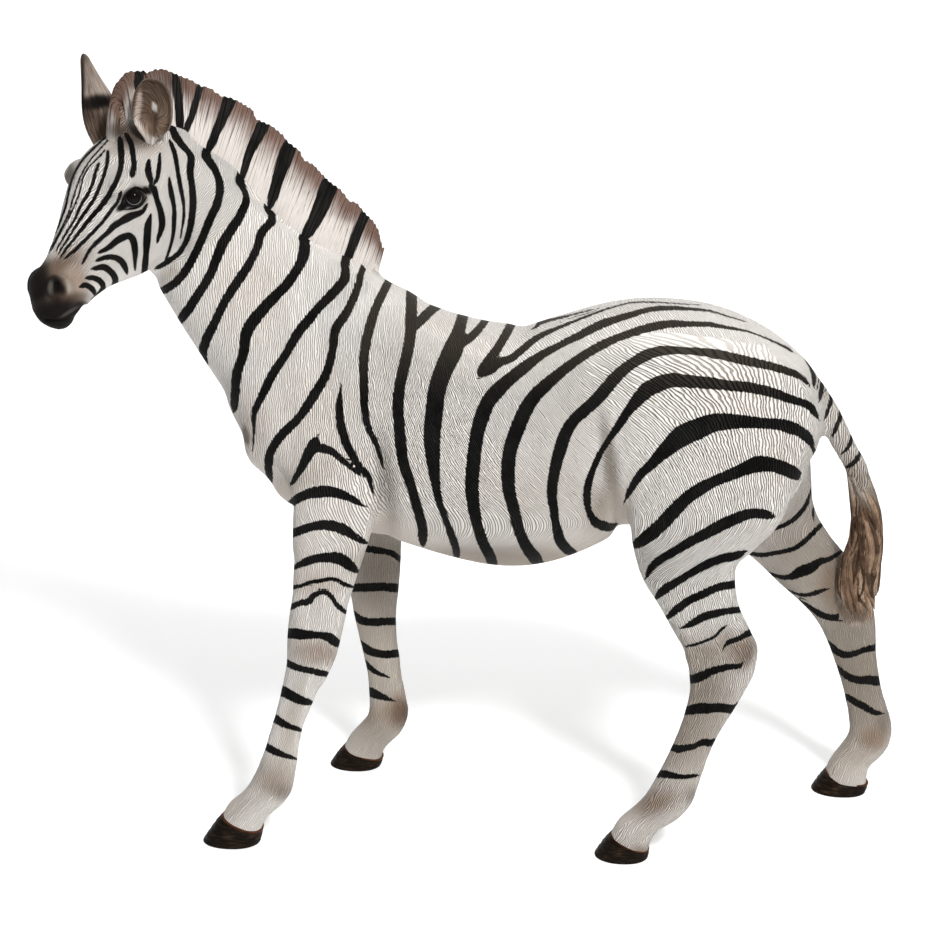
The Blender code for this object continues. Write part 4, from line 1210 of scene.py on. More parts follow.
@dataclass(frozen=True)
class FurPaint:
    """The casting's paint: cream, darkened in the grooves of the tooled hair by grey paint and painted shade, and black
    strokes with a painted highlight on their ridges.
    """
    across: float = 0.0029
    along: float = 0.0150
    wander: float = 0.0010
    black: Colour = (0.0040, 0.0037, 0.0035)
    painted_sheen: Colour = (0.022, 0.021, 0.020)
    brown: Colour = (0.036, 0.030, 0.024)
    wash_and_shade: Colour = (0.29, 0.255, 0.215)

    def material(self) -> bpy.types.Material:
        """Builds the finish.

        Returns:
            The material, which reads the casting's attributes.
        """
        sh = Shader("painted_fur")
        head, fur, stripe_brown = (sh.attribute(name) for name in ("head", "fur", "stripe_brown"))
        patchy = sh.noise(sh.place(), 26.0, 3.0, 0.6)
        broad = sh.noise(sh.place(), 7.0, 2.0, 0.5)
        edge = sh.math("ADD", 0.3, sh.math("MULTIPLY", patchy, 0.4))
        vectors = {name: sh.attribute(name, vector=True)
                   for name in ("hair", "front_hair", "back_hair", "face_hair", "brow_hair", "tint")}
        body = sh.choose(sh.attribute("front"), vectors["hair"], vectors["front_hair"], edge)
        body = sh.choose(sh.attribute("top"), body, vectors["back_hair"], edge)
        face = sh.choose(sh.attribute("brow"), vectors["face_hair"], vectors["brow_hair"], edge)
        laid = sh.bent(sh.choose(head, body, face), 55.0, self.wander)
        tint = vectors["tint"]
        ridge = sh.step(sh.grooves(laid, self.across, self.along), 0.0, 0.9)
        fine = sh.strokes(laid, self.across * 0.55, self.along * 0.6)
        mixed = sh.math("ADD", sh.math("MULTIPLY", ridge, 0.60), sh.math("MULTIPLY", fine, 0.40))
        # Darkening in the grooves: partly grey paint settled there, partly painted shade.
        groove = sh.step(mixed, 0.80, 0.34)
        amount = sh.math("MULTIPLY", groove, sh.step(patchy, 0.25, 0.75, 0.60, 1.0))
        amount = sh.math("MULTIPLY", amount, sh.math("MULTIPLY", fur, sh.blend(head, 1.0, 0.62)))
        base = sh.times(sh.step(broad, 0.35, 0.75), tint, (0.93, 0.90, 0.87, 1.0))
        washed_and_shaded = sh.times(amount, base, (*self.wash_and_shade, 1.0))
        # Painted highlight on the ridges of the black strokes.
        painted_sheen = sh.step(sh.math("ADD", sh.math("MULTIPLY", patchy, 0.6), sh.math("MULTIPLY", mixed, 0.4)), 0.50, 0.70)
        black = sh.mix(sh.math("MULTIPLY", painted_sheen, 0.4), (*self.black, 1.0), (*self.painted_sheen, 1.0))
        # The black strokes turn brown along the top of the back and on the tail.
        black = sh.mix(sh.math("MULTIPLY", stripe_brown, sh.step(mixed, 0.3, 0.7, 0.45, 1.0)), black, (*self.brown, 1.0))
        mask = stripe_mask(sh, fine, sh.blend(head, 3.4, 2.6))
        pits = sh.noise(sh.place(), 420.0, 2.0, 0.6)
        tooled = sh.math("MULTIPLY", mixed, sh.math("MAXIMUM", fur, 0.15))
        relief = sh.math("ADD", tooled, sh.math("MULTIPLY", pits, 0.05))
        roughness = sh.blend(mask, sh.step(patchy, 0.2, 0.8, 0.62, 0.78), sh.step(mixed, 0.3, 0.7, 0.50, 0.66))
        return sh.finish(sh.mix(mask, washed_and_shaded, black), roughness, relief, sh.blend(head, 0.0042, 0.0030), 1.0)


def own_frame(points: Sequence) -> Array:
    """Moves places from the tables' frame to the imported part's.

    Args:
        points: rows of x, y, z.

    Returns:
        The moved rows.
    """
    return np.asarray(points, float) + TABLE_ORIGIN


@dataclass(frozen=True)
class EarForm:
    """One ear: its axis, the way it opens, its width and its outline from foot to tip."""
    name: str
    foot: tuple[float, float, float]
    tip: tuple[float, float, float]
    facing: tuple[float, float, float]
    half_width: float
    outline: tuple[float, ...]
    buried: float              # length of the foot that is in the skull, metres
    patches: tuple[Patch, ...]
    lobe: float = 0.0          # how far the rim rolls outwards, metres
    cup: float = 0.018
    wall: float = 0.0050
    hollow_from: float = 0.02   # share of the length below which the cup is filled
    outside: Colour = (0.33, 0.270, 0.228)
    inside: Colour = (0.105, 0.066, 0.045)

    def frame(self) -> tuple[Array, Array, Array, Array, float]:
        """The ear's own axes.

        Returns:
            Foot, direction to the tip, direction that it opens, direction across, and length.
        """
        foot = own_frame(self.foot)
        rise = own_frame(self.tip) - foot
        length = float(np.linalg.norm(rise))
        rise = rise / length
        front = np.array(self.facing) - rise * float(np.dot(self.facing, rise))
        front = front / np.linalg.norm(front)
        return foot, rise, front, np.cross(rise, front), length

    def rings(self, levels: int = 56, arc: int = 25) -> tuple[Array, Array]:
        """The shell's rings from foot to tip.

        Args:
            levels: number of rings.
            arc: points on the outer and on the inner arc of each.

        Returns:
            Rings of points, and for each point its share up the ear, its side and whether it is inner.
        """
        foot, rise, front, side, length = self.frame()
        shares = np.interp(np.linspace(0, 1, levels), np.linspace(0, 1, len(self.outline)), self.outline)
        soft = np.convolve(np.pad(shares, 3, mode="edge"), np.ones(7) / 7.0, mode="valid")
        rings, notes = [], []
        for level, share in enumerate(soft):
            t = level / (levels - 1)
            tip_round = math.sqrt(max(0.0, 1.0 - max(0.0, (t - 0.94) / 0.062) ** 2))
            wide = self.half_width * share * max(tip_round, 0.08)
            deep = self.cup * (0.35 + 0.65 * share) * (1.0 - 0.45 * t) * max(tip_round, 0.1)
            wall = min(self.wall, wide * 0.55)
            hollow = float(np.clip((t - self.hollow_from) / 0.20, 0.0, 1.0))
            centre = foot + rise * (length * t) + front * (0.006 - 0.010 * t * t)
            ring = []
            for k in range(arc):
                a = math.radians(-90.0 + 180.0 * k / (arc - 1))
                roll = self.lobe * abs(math.sin(a)) ** 6
                ring.append(centre + side * (wide * math.sin(a)) - front * (deep * math.cos(a) + roll))
                notes.append((t, math.sin(a), 0.0))
            for k in range(arc):
                a = math.radians(90.0 - 180.0 * k / (arc - 1))
                fold = 0.0016 * math.exp(-((math.sin(a) - 0.25) / 0.16) ** 2) * float(smooth(t, 0.62, 0.1))
                inward = (deep - wall) * hollow * math.cos(a) - 0.0012 - fold
                ring.append(centre + side * ((wide - wall * 0.4) * math.sin(a)) - front * inward)
                notes.append((t, math.sin(a), 1.0))
            rings.append(ring)
        return np.array(rings), np.array(notes)

    def collapse(self, co: Array) -> Array:
        """Draws the solid's ear down to its foot, to make room for the finer one.

        Args:
            co: vertices of the solid.

        Returns:
            The changed vertices.
        """
        foot, rise, _, _, length = self.frame()
        off = co - foot
        t = off @ rise
        radial = off - t[:, None] * rise
        gone = (t > self.buried) & (np.linalg.norm(radial, axis=1) < 0.037) & (t < length + 0.02)
        short = self.buried + (t - self.buried) * 0.04
        co[gone] = (foot + short[:, None] * rise + radial * 0.6)[gone]
        return co

    def build(self, material: bpy.types.Material) -> bpy.types.Object:
        """Makes the ear.

        Args:
            material: its paint.

        Returns:
            The piece.
        """
        rings, notes = self.rings()
        mesh = grid_mesh(self.name, rings)
        extra = len(mesh.vertices) - len(notes)
        notes = np.vstack((notes, np.array([(0.0, 0.0, 0.0), (1.0, 0.0, 0.0)])[:extra]))
        co = Skin.of(mesh).co
        flat = VIEW.project(co)
        inner = notes[:, 2][:, None]
        tint = (1.0 - inner) * np.array(self.outside) + inner * np.array(self.inside)
        for patch in self.patches:
            tint += patch.weight(flat)[:, None] * (np.array(patch.colour) - tint)
        wide = notes[:, 1] * self.half_width
        tall = (notes[:, 0] - 0.42) * 0.09
        reach = np.hypot(wide, tall)
        turn = np.arctan2(wide, tall)
        whorl = np.stack((turn * 0.026 + reach * 0.9, notes[:, 2] * 0.02, reach * 1.1 - turn * 0.008), axis=1)
        lines = np.stack((wide, notes[:, 2] * 0.02 + 0.05, notes[:, 0] * 0.09), axis=1)
        put_attribute(mesh, "ear_hair", np.where(inner > 0.5, whorl, lines))
        put_attribute(mesh, "tint", tint)
        put_attribute(mesh, "inner", notes[:, 2])
        return add_piece(self.name, mesh, material)


EARS = (
    EarForm("ear_left", (-0.3646, -0.1048, 0.893), (-0.351, -0.142, 0.9735), (-0.05, -0.95, -0.10), 0.0252,
            (0.10, 0.25, 0.50, 0.78, 0.95, 1.0, 1.0, 0.96, 0.88, 0.70, 0.42), 0.010,
            (Patch(156, 90, 22, 14, UMBER, 0.75, 0, 2.0), Patch(138, 110, 3.2, 22, BLUSH, 0.95, 6, 2.5),
             Patch(143.5, 131, 3.4, 14, CREAM, 0.90, -34, 2.0), Patch(154.5, 107, 2.4, 5, CREAM, 0.9, -15, 2.5),
             Patch(152, 141, 6, 5, CREAM, 0.95), Patch(155.5, 125, 2.2, 12, SOOT, 0.9, 6, 2.0),
             Patch(147, 127, 7, 12, TAN, 0.8, -20), Patch(164, 120, 7, 20, TAN, 0.6, 5), Patch(145, 86, 10, 4, UMBER, 0.6, -35),
             Patch(176, 112, 2.2, 22, UMBER, 0.7, 0, 2.0), Patch(163, 137, 7, 3, BLUSH, 0.7, -30)), 0.0022),
    EarForm("ear_right", (-0.424, -0.046, 0.880), (-0.4590, -0.055, 0.999), (-0.65, 0.70, -0.05), 0.0260,
            (0.70, 0.84, 0.94, 1.0, 0.98, 0.88, 0.73, 0.56, 0.42, 0.29, 0.15), 0.026,
            (Patch(94, 128, 24, 24, TAN, 0.80, 0, 3.0), Patch(97, 102, 22, 8.5, SOOT, 1.0, -6, 3.0),
             Patch(88, 114, 12, 13, SOOT, 0.75, 0, 2.0), Patch(98, 128, 16, 12, UMBER, 0.75),
             Patch(82.5, 85, 2.4, 46, SOOT, 0.95, 0, 2.0), Patch(84, 57, 6, 8, UMBER, 0.7),
             Patch(88, 82, 5, 20, UMBER, 0.35)), hollow_from=0.22),
)


@dataclass(frozen=True)
class EarPaint:
    """Paint of the ears: brown inside, cream outside, with fine hair."""
    hair: float = 0.0012

    def material(self) -> bpy.types.Material:
        """Builds the finish.

        Returns:
            The material.
        """
        sh = Shader("painted_ear")
        tint = sh.attribute("tint", vector=True)
        lines = sh.strokes(sh.attribute("ear_hair", vector=True), self.hair, 0.016, 3.0)
        groove = sh.step(lines, 0.56, 0.36)
        light = sh.step(lines, 0.54, 0.70)
        blot = sh.noise(sh.place(), 60.0, 2.0)
        dark = sh.times(sh.math("MULTIPLY", groove, 0.85), tint, (0.36, 0.30, 0.25, 1.0))
        light = sh.math("MULTIPLY", light, sh.step(sh.light(tint), 0.01, 0.12))
        pale = sh.mix(sh.math("MULTIPLY", light, sh.step(blot, 0.3, 0.7, 0.15, 0.42)), dark, (0.36, 0.29, 0.23, 1.0))
        return sh.finish(pale, sh.step(blot, 0.3, 0.7, 0.55, 0.72), lines, 0.0022, 0.9)


@dataclass
class Mane:
    """The upright mane: combed grooves, locks whose tops step down, and painted stripes."""
    groove: float = 0.0030
    depth: float = 0.0010
    steps: int = 62
    ragged: float = 0.0012
    shades: tuple[Patch, ...] = (Patch(126, 132, 24, 13, UMBER, 0.95, 10, 2.0), Patch(118, 92, 12, 22, UMBER, 0.15, 15),
                                 Patch(108, 128, 9, 16, UMBER, 0.45, 0, 2.0),
                                 Patch(163, 84, 24, 18, UMBER, 0.55), Patch(146, 120, 16, 20, UMBER, 0.50))
    levels: tuple[tuple[float, float], ...] = ((-0.12, 0.46), (-0.02, 0.50), (0.06, 0.515), (0.14, 0.515),
                                               (0.24, 0.50), (0.34, 0.48), (0.44, 0.455), (0.54, 0.43),
                                               (0.64, 0.40), (0.74, 0.37), (0.83, 0.335), (0.91, 0.29),
                                               (0.965, 0.21), (0.992, 0.10))

    def rows(self, steps: int) -> tuple[Array, Array, Array, Array]:
        """Cross-section places along the crest.

        Args:
            steps: places in each span between stations.

        Returns:
            Feet, tops, thicknesses and side directions.
        """
        flat = spline(np.array([(*foot, *top, thick) for foot, top, thick in MANE]), steps)
        foot, top, thick = own_frame(flat[:, :3]), own_frame(flat[:, 3:6]), flat[:, 6]
        along = np.gradient(foot, axis=0)
        side = np.cross(along, top - foot)
        side /= np.linalg.norm(side, axis=1)[:, None]
        return foot, top, thick, side

    def collapse(self, co: Array) -> Array:
        """Draws the solid's mane in, so that the finer one covers it.

        Args:
            co: vertices of the solid.

        Returns:
            The changed vertices.
        """
        foot, top, _, side = self.rows(8)
        rise = top - foot
        length = np.linalg.norm(rise, axis=1)
        for index in np.nonzero(co[:, 2] > 0.70)[0]:
            off = co[index] - foot
            up = np.clip((off * rise).sum(1) / length ** 2, 0.0, 1.1)
            gap = np.linalg.norm(off - up[:, None] * rise, axis=1)
            best = int(np.argmin(gap))
            if gap[best] > 0.024 or up[best] < 0.05:
                continue
            share = float(smooth(up[best], 0.05, 0.28))
            across = float(off[best] @ side[best])
            co[index] -= side[best] * (across * 0.45 * share)
            co[index] -= rise[best] * ((up[best] - 0.05) * 0.16 * share)
        return co

    def fitted_tops(self, foot: Array, top: Array) -> Array:
        """Moves the tops along their rise until they meet the outline in the photograph.

        Args:
            foot: feet of the rows.
            top: tops of the rows.

        Returns:
            The new tops.
        """
        outline = np.array(MANE_OUTLINE, float)[:-1]
        rise = (top - foot) / np.linalg.norm(top - foot, axis=1)[:, None]
        moved = np.zeros(len(top))
        for _ in range(4):
            here = VIEW.project(top + rise * moved[:, None])
            ahead = VIEW.project(top + rise * (moved + 0.001)[:, None])
            wanted = np.interp(here[:, 0], outline[:, 0], outline[:, 1])
            slope = np.interp(ahead[:, 0], outline[:, 0], outline[:, 1]) - wanted
            climb = ahead[:, 1] - here[:, 1] - slope
            moved = np.clip(moved + 0.001 * (wanted - here[:, 1]) / np.minimum(climb, -0.25), -0.012, 0.010)
        return top + rise * moved[:, None]

    def build(self, material: bpy.types.Material) -> bpy.types.Object:
        """Makes the mane.

        Args:
            material: its paint.

        Returns:
            The piece.
        """
        foot, top, thick, side = self.rows(self.steps)
        top = self.fitted_tops(foot, top)
        crest = np.concatenate(((0.0,), np.cumsum(np.linalg.norm(np.diff((foot + top) / 2, axis=0), axis=1))))
        rise = top - foot
        unit = rise / np.linalg.norm(rise, axis=1)[:, None]
        end = np.minimum(smooth(crest, 0.0, 0.012), smooth(crest, crest[-1], crest[-1] - 0.012))
        lock = 0.5 + 0.5 * np.sin(crest * 2 * math.pi / 0.0068 + 2.0 * np.sin(crest * 61.0))
        ring_points, heights, combs = [], [], []
        sides = [(h, share, 1.0) for h, share in self.levels] + [(1.0, 0.0, 0.0)]
        sides += [(h, share, -1.0) for h, share in reversed(self.levels)]
        for h, share, sign in sides:
            wander = 1.5 * np.sin(crest * 173.0 + 2.1 * h + sign) + 1.1 * np.sin(crest * 391.0 - 1.7 * h)
            wander = wander + 0.8 * h * np.sin(crest * 97.0 + 1.0 + sign)
            phase = crest / self.groove * math.pi + wander
            ridge = np.abs(np.sin(phase)) ** 0.7
            second = np.abs(np.sin(phase * 0.43 + 1.9 * h + 2.0 * sign)) ** 0.5
            comb = 0.65 * ridge + 0.35 * second
            depth = self.depth * (0.25 + 0.9 * max(h, 0.0))
            out = thick * share * (0.35 + 0.65 * end) - depth * (1.0 - comb) * (1.0 if share > 0.05 else 0.0)
            lift = -self.ragged * (1.0 - comb) * smooth(h, 0.8, 1.0) - self.ragged * 1.2 * lock * smooth(h, 0.85, 1.0)
            ring_points.append(foot + rise * h + side * (sign * out)[:, None] + unit * lift[:, None])
            heights.append(np.full(len(crest), max(h, 0.0)))
            combs.append(comb)
        rings = np.stack(ring_points, axis=1)
        mesh = grid_mesh("mane", rings)
        extra = len(mesh.vertices) - rings.shape[0] * rings.shape[1]
        tip = np.concatenate((np.stack(heights, axis=1).ravel(), np.full(extra, 0.5)))
        comb = np.concatenate((np.stack(combs, axis=1).ravel(), np.full(extra, 0.5)))
        co = Skin.of(mesh).co
        flat = VIEW.project(co)
        put_stripes(mesh, painted(flat, MANE_STRIPES, 1.2))
        shade = np.zeros(len(co))
        for patch in self.shades:
            shade = np.maximum(shade, patch.weight(flat))
        put_attribute(mesh, "shade", shade)
        along = np.concatenate((np.repeat(crest, rings.shape[1]), np.zeros(extra)))
        put_attribute(mesh, "tip", tip)
        put_attribute(mesh, "comb", comb)
        put_attribute(mesh, "mane_hair", np.stack((along, np.sign(tip - 2.0) * 0.0, tip * 0.08), axis=1))
        return add_piece("mane", mesh, material)


@dataclass(frozen=True)
class ManePaint:
    """Paint of the mane: cream at the foot, dusky brown at the tips, black stripes."""
    root: Colour = (0.60, 0.555, 0.515)
    dusk: Colour = (0.138, 0.085, 0.066)
    deep: Colour = (0.024, 0.014, 0.011)
    black: Colour = (0.0040, 0.0037, 0.0035)
    painted_sheen: Colour = (0.020, 0.019, 0.018)

    def material(self) -> bpy.types.Material:
        """Builds the finish.

        Returns:
            The material.
        """
        sh = Shader("painted_mane")
        tip = sh.attribute("tip")
        comb = sh.attribute("comb")
        hair = sh.strokes(sh.attribute("mane_hair", vector=True), 0.0011, 0.030, 3.0)
        blot = sh.noise(sh.place(), 34.0, 2.0)
        lines = sh.math("ADD", sh.math("MULTIPLY", comb, 0.55), sh.math("MULTIPLY", hair, 0.45))
        reach = sh.math("ADD", tip, sh.math("MULTIPLY", sh.math("SUBTRACT", blot, 0.5), 0.35))
        reach = sh.math("ADD", reach, sh.math("MULTIPLY", sh.math("SUBTRACT", 0.6, lines), 0.45))
        shade = sh.step(reach, 0.36, 0.92)
        colour = sh.mix(shade, (*self.root, 1.0), (*self.dusk, 1.0))
        colour = sh.mix(sh.attribute("shade"), colour, (0.046, 0.030, 0.021, 1.0))
        groove = sh.step(lines, 0.62, 0.36)
        strong = sh.step(tip, 0.05, 0.85, 0.35, 0.92)
        colour = sh.mix(sh.math("MULTIPLY", groove, strong), colour, (*self.deep, 1.0))
        grain = hair
        mask = stripe_mask(sh, grain, 3.5)
        # Painted highlight on the ridges of the black stripes.
        painted_sheen = sh.math("MULTIPLY", sh.step(lines, 0.45, 0.8), sh.step(blot, 0.35, 0.65, 0.2, 0.9))
        black = sh.mix(painted_sheen, (*self.black, 1.0), (*self.painted_sheen, 1.0))
        colour = sh.mix(mask, colour, black)
        return sh.finish(colour, sh.blend(mask, 0.66, 0.52), hair, 0.0022, 0.9)


@dataclass(frozen=True)
class Hoof:
    """One hoof: toe and heel on the floor, middle, and the ends of the slanting hair line."""
    name: str
    toe: float
    heel: float
    y: float
    front_edge: tuple[float, float]
    back_edge: tuple[float, float]
    half_width: float = 0.0300

    def edge_height(self, x: Array) -> Array:
        """Height of the hair line.

        Args:
            x: places along the hoof, in the tables' frame.

        Returns:
            Metres above the floor.
        """
        share = np.clip((x - self.front_edge[0]) / (self.back_edge[0] - self.front_edge[0]), -0.2, 1.2)
        return self.front_edge[1] + (self.back_edge[1] - self.front_edge[1]) * share

    def collapse(self, co: Array) -> Array:
        """Shrinks the solid's hoof a little, so that the finer one covers it.

        Args:
            co: vertices of the solid.

        Returns:
            The changed vertices.
        """
        own = co - TABLE_ORIGIN
        top = self.edge_height(own[:, 0])
        inside = (own[:, 0] > self.toe - 0.01) & (own[:, 0] < self.heel + 0.012)
        inside &= (np.abs(own[:, 1] - self.y) < 0.036) & (own[:, 2] < top + 0.002)
        middle = (self.toe + self.heel + self.front_edge[0] + self.back_edge[0]) / 4.0
        share = 0.10 * smooth(own[:, 2], top + 0.002, top * 0.7)
        own[inside, 0] -= ((own[:, 0] - middle) * share)[inside]
        own[inside, 1] -= ((own[:, 1] - self.y) * share)[inside]
        own[inside, 2] = np.maximum(own[inside, 2], 0.003)
        return own + TABLE_ORIGIN

    def build(self, material: bpy.types.Material) -> bpy.types.Object:
        """Makes the hoof.

        Args:
            material: horn.

        Returns:
            The piece.
        """
        around = 56
        angle = np.arange(around) * 2.0 * math.pi / around
        c, sn = np.cos(angle), np.sin(angle)
        low_middle, low_half = (self.toe + self.heel) / 2.0, (self.heel - self.toe) / 2.0
        top_middle = (self.front_edge[0] + self.back_edge[0]) / 2.0
        top_half = (self.back_edge[0] - self.front_edge[0]) / 2.0
        shares = [(0.0, -0.0015)] + [(k / 16.0, 0.00035 * math.sin(k * 2.1) + 0.0002 * math.sin(k * 4.7))
                                     for k in range(1, 15)]
        shares += [(0.93, 0.0002), (0.98, 0.0000), (1.01, -0.0012), (1.03, -0.0040)]
        shares[1:1] = [(0.02, -0.0002)]
        rings, levels = [], []
        for share, swell in shares:
            middle = low_middle + (top_middle - low_middle) * share
            half = low_half + (top_half - low_half) * share + swell
            wide = self.half_width * (1.0 - 0.10 * share) + swell
            blunt = np.where(c > 0, 0.86, 1.0)
            x = middle + half * np.copysign(np.abs(c) ** blunt, c)
            y = self.y + wide * np.copysign(np.abs(sn) ** 0.92, sn)
            rings.append(np.stack((x, y, self.edge_height(x) * share), axis=1))
            levels += [share] * around
        mesh = grid_mesh(self.name, own_frame(np.array(rings)))
        extra = len(mesh.vertices) - len(levels)
        put_attribute(mesh, "level", np.array(levels + [0.0, 1.0][:extra]))
        return add_piece(self.name, mesh, material)


HOOVES = (
    Hoof("hoof_fore_left", -0.3285, -0.253, -0.123, (-0.2995, 0.039), (-0.2485, 0.019)),
    Hoof("hoof_fore_right", -0.2005, -0.128, 0.135, (-0.1785, 0.0295), (-0.124, 0.012)),
    Hoof("hoof_hind_left", 0.180, 0.249, -0.122, (0.2025, 0.031), (0.2505, 0.011)),
    Hoof("hoof_hind_right", 0.473, 0.547, 0.106, (0.493, 0.030), (0.551, 0.013)),
)


@dataclass(frozen=True)
class HoofPaint:
    """Dark horn with brown growth rings and a reddish edge at the hair."""
    horn: Colour = (0.0070, 0.0050, 0.0036)
    streak: Colour = (0.040, 0.025, 0.016)
    rust: Colour = (0.080, 0.026, 0.012)

    def material(self) -> bpy.types.Material:
        """Builds the finish.

        Returns:
            The material.
        """
        sh = Shader("painted_hoof")
        level = sh.attribute("level")
        place = sh.place()
        rings = sh.noise(sh.scaled(place, (60.0, 60.0, 520.0)), 1.0, 3.0, 0.6)
        fibre = sh.noise(sh.scaled(place, (700.0, 700.0, 60.0)), 1.0, 2.0, 0.6)
        blot = sh.noise(place, 70.0, 2.0)
        share = sh.math("MULTIPLY", sh.step(rings, 0.45, 0.68), sh.step(blot, 0.3, 0.7, 0.25, 0.9))
        colour = sh.mix(share, (*self.horn, 1.0), (*self.streak, 1.0))
        wave = sh.math("ADD", level, sh.math("MULTIPLY", sh.math("SUBTRACT", blot, 0.5), 0.10))
        colour = sh.mix(sh.step(wave, 0.86, 0.97, 0.0, 0.85), colour, (*self.rust, 1.0))
        relief = sh.math("ADD", sh.math("MULTIPLY", rings, 0.7), sh.math("MULTIPLY", fibre, 0.3))
        return sh.finish(colour, sh.step(blot, 0.3, 0.7, 0.40, 0.58), relief, 0.0010, 0.7)


@dataclass
class TailTuft:
    """The tail's brush: a combed core with fine locks laid on it."""
    locks: int = 120
    sides: int = 8
    steps: int = 26
    seed: int = 7

    def path(self, steps: int) -> Array:
        """The brush's centre line.

        Args:
            steps: places in each span.

        Returns:
            Rows of x, y, z, half depth and half width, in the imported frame.
        """
        rows = spline(np.array(TAIL[5:]), steps)
        rows[:, :3] += TABLE_ORIGIN
        return rows

    def collapse(self, co: Array) -> Array:
        """Draws the solid's tuft in, so that the finer one covers it.

        Args:
            co: vertices of the solid.

        Returns:
            The changed vertices.
        """
        rows = self.path(6)
        for index in np.nonzero((co[:, 0] > 0.43) & (co[:, 2] < 0.45) & (co[:, 2] > 0.26))[0]:
            gap = np.linalg.norm(rows[:, :3] - co[index], axis=1)
            best = int(np.argmin(gap))
            if gap[best] < rows[best, 3] * 1.18 and co[index, 1] < rows[best, 1] + rows[best, 4] * 0.9:
                share = 0.30 * float(smooth(co[index, 2], 0.45, 0.41))
                co[index] -= (co[index] - rows[best, :3]) * share
        return co

    def surface(self, rows: Array, t: Array, angle: Array, share: Array) -> Array:
        """Places about the brush.

        Args:
            rows: the centre line.
            t: share of its length.
            angle: around it.
            share: of its half sizes.

        Returns:
            Rows of x, y, z.
        """
        at = t * (len(rows) - 1)
        values = [np.interp(at, np.arange(len(rows)), rows[:, k]) for k in range(5)]
        ahead = np.stack([np.interp(np.clip(at + 0.5, 0, len(rows) - 1), np.arange(len(rows)), rows[:, k])
                          - np.interp(np.clip(at - 0.5, 0, len(rows) - 1), np.arange(len(rows)), rows[:, k])
                          for k in range(3)], axis=1)
        ahead /= np.maximum(np.linalg.norm(ahead, axis=1), 1e-9)[:, None]
        across = np.array((0.0, 1.0, 0.0)) - ahead * ahead[:, 1:2]
        across /= np.linalg.norm(across, axis=1)[:, None]
        out = np.cross(ahead, across)
        middle = np.stack(values[:3], axis=1)
        return (middle + out * (values[3] * share * np.cos(angle))[:, None]
                + across * (values[4] * share * np.sin(angle))[:, None])

    def build(self, material: bpy.types.Material) -> bpy.types.Object:
        """Makes the brush.

        Args:
            material: its paint.

        Returns:
            The piece.
        """
        rng = np.random.default_rng(self.seed)
        rows = self.path(16)
        around, levels = 72, 120
        angle = np.arange(around) * 2.0 * math.pi / around
        rings, tones = [], []
        for level in range(levels):
            t = 0.10 + 0.86 * level / (levels - 1)
            turn = angle + 1.4 * t
            comb = 0.5 + 0.5 * np.sin(turn * 17 + 3.0 * np.sin(turn * 3 + 5 * t))
            end = 1.0 - 0.75 * float(smooth(t, 0.86, 0.97))
            share = (0.90 + 0.07 * comb + 0.03 * np.sin(turn * 5 + 7 * t)) * end
            share = share * (0.985 if t > 0.15 else 0.97)
            rings.append(self.surface(rows, np.full(around, t), angle, share))
            tones += list(comb)
        mesh = grid_mesh("tail_core", np.array(rings))
        build = bmesh.new()
        build.from_mesh(mesh)
        layer = build.verts.layers.float.new("tone")
        reach = build.verts.layers.float.new("down")
        build.verts.ensure_lookup_table()
        for index, vert in enumerate(build.verts):
            vert[layer] = 0.5 * tones[index] if index < len(tones) else 0.3
            vert[reach] = (index // around) / levels
        for _ in range(self.locks):
            begin = rng.uniform(0.02, 0.62)
            stop = min(1.0, begin + rng.uniform(0.32, 0.60)) + rng.uniform(-0.02, 0.03)
            t = np.linspace(begin, stop, self.steps)
            own = (t - begin) / (stop - begin)
            first = rng.uniform(0, 2 * math.pi)
            bend = first + rng.uniform(0.1, 0.9) * own + 0.24 * np.sin(own * rng.uniform(3, 7) + rng.uniform(0, 6))
            lift = rng.uniform(0.88, 0.95) + rng.uniform(-0.02, 0.09) * own * smooth(own, 0.3, 1.0)
            close = 1.0 - rng.uniform(0.0, 0.5) * smooth(t, 0.80, 1.0)
            line = self.surface(rows, np.clip(t, 0, 1), bend, lift * close)
            line[:, 2] -= np.maximum(t - 1.0, 0.0) * 0.20
            thick = rng.uniform(0.0018, 0.0046) * np.sin(math.pi * np.clip(own * 0.90 + 0.08, 0, 1)) ** 0.6
            self.add_lock(build, layer, reach, line, thick, rng.uniform(0.0, 1.0), t)
        build.to_mesh(mesh)
        build.free()
        mesh.update()
        return add_piece("tail_tuft", mesh, material)

    def add_lock(self, build: bmesh.types.BMesh, layer: object, reach: object, line: Array, thick: Array,
                 tone: float, t: Array) -> None:
        """Adds one lock of hair.

        Args:
            build: the mesh being made.
            layer: where its tone is kept.
            reach: where its share down the brush is kept.
            line: its centre line.
            thick: half thickness along it.
            tone: how light it is.
            t: share down the brush along it.
        """
        ahead = np.gradient(line, axis=0)
        ahead /= np.maximum(np.linalg.norm(ahead, axis=1), 1e-9)[:, None]
        across = np.cross(ahead, (1.0, 0.3, 0.1))
        across /= np.maximum(np.linalg.norm(across, axis=1), 1e-9)[:, None]
        up = np.cross(ahead, across)
        rows = []
        for k in range(len(line)):
            row = []
            for side in range(self.sides):
                a = 2.0 * math.pi * side / self.sides
                vert = build.verts.new(line[k] + (across[k] * math.cos(a) + up[k] * math.sin(a)) * thick[k])
                vert[layer] = tone
                vert[reach] = float(t[k])
                row.append(vert)
            rows.append(row)
        for low, high in zip(rows, rows[1:]):
            for k in range(self.sides):
                n = (k + 1) % self.sides
                build.faces.new((low[k], low[n], high[n], high[k]))
        build.faces.new(tuple(reversed(rows[0])))
        build.faces.new(tuple(rows[-1]))


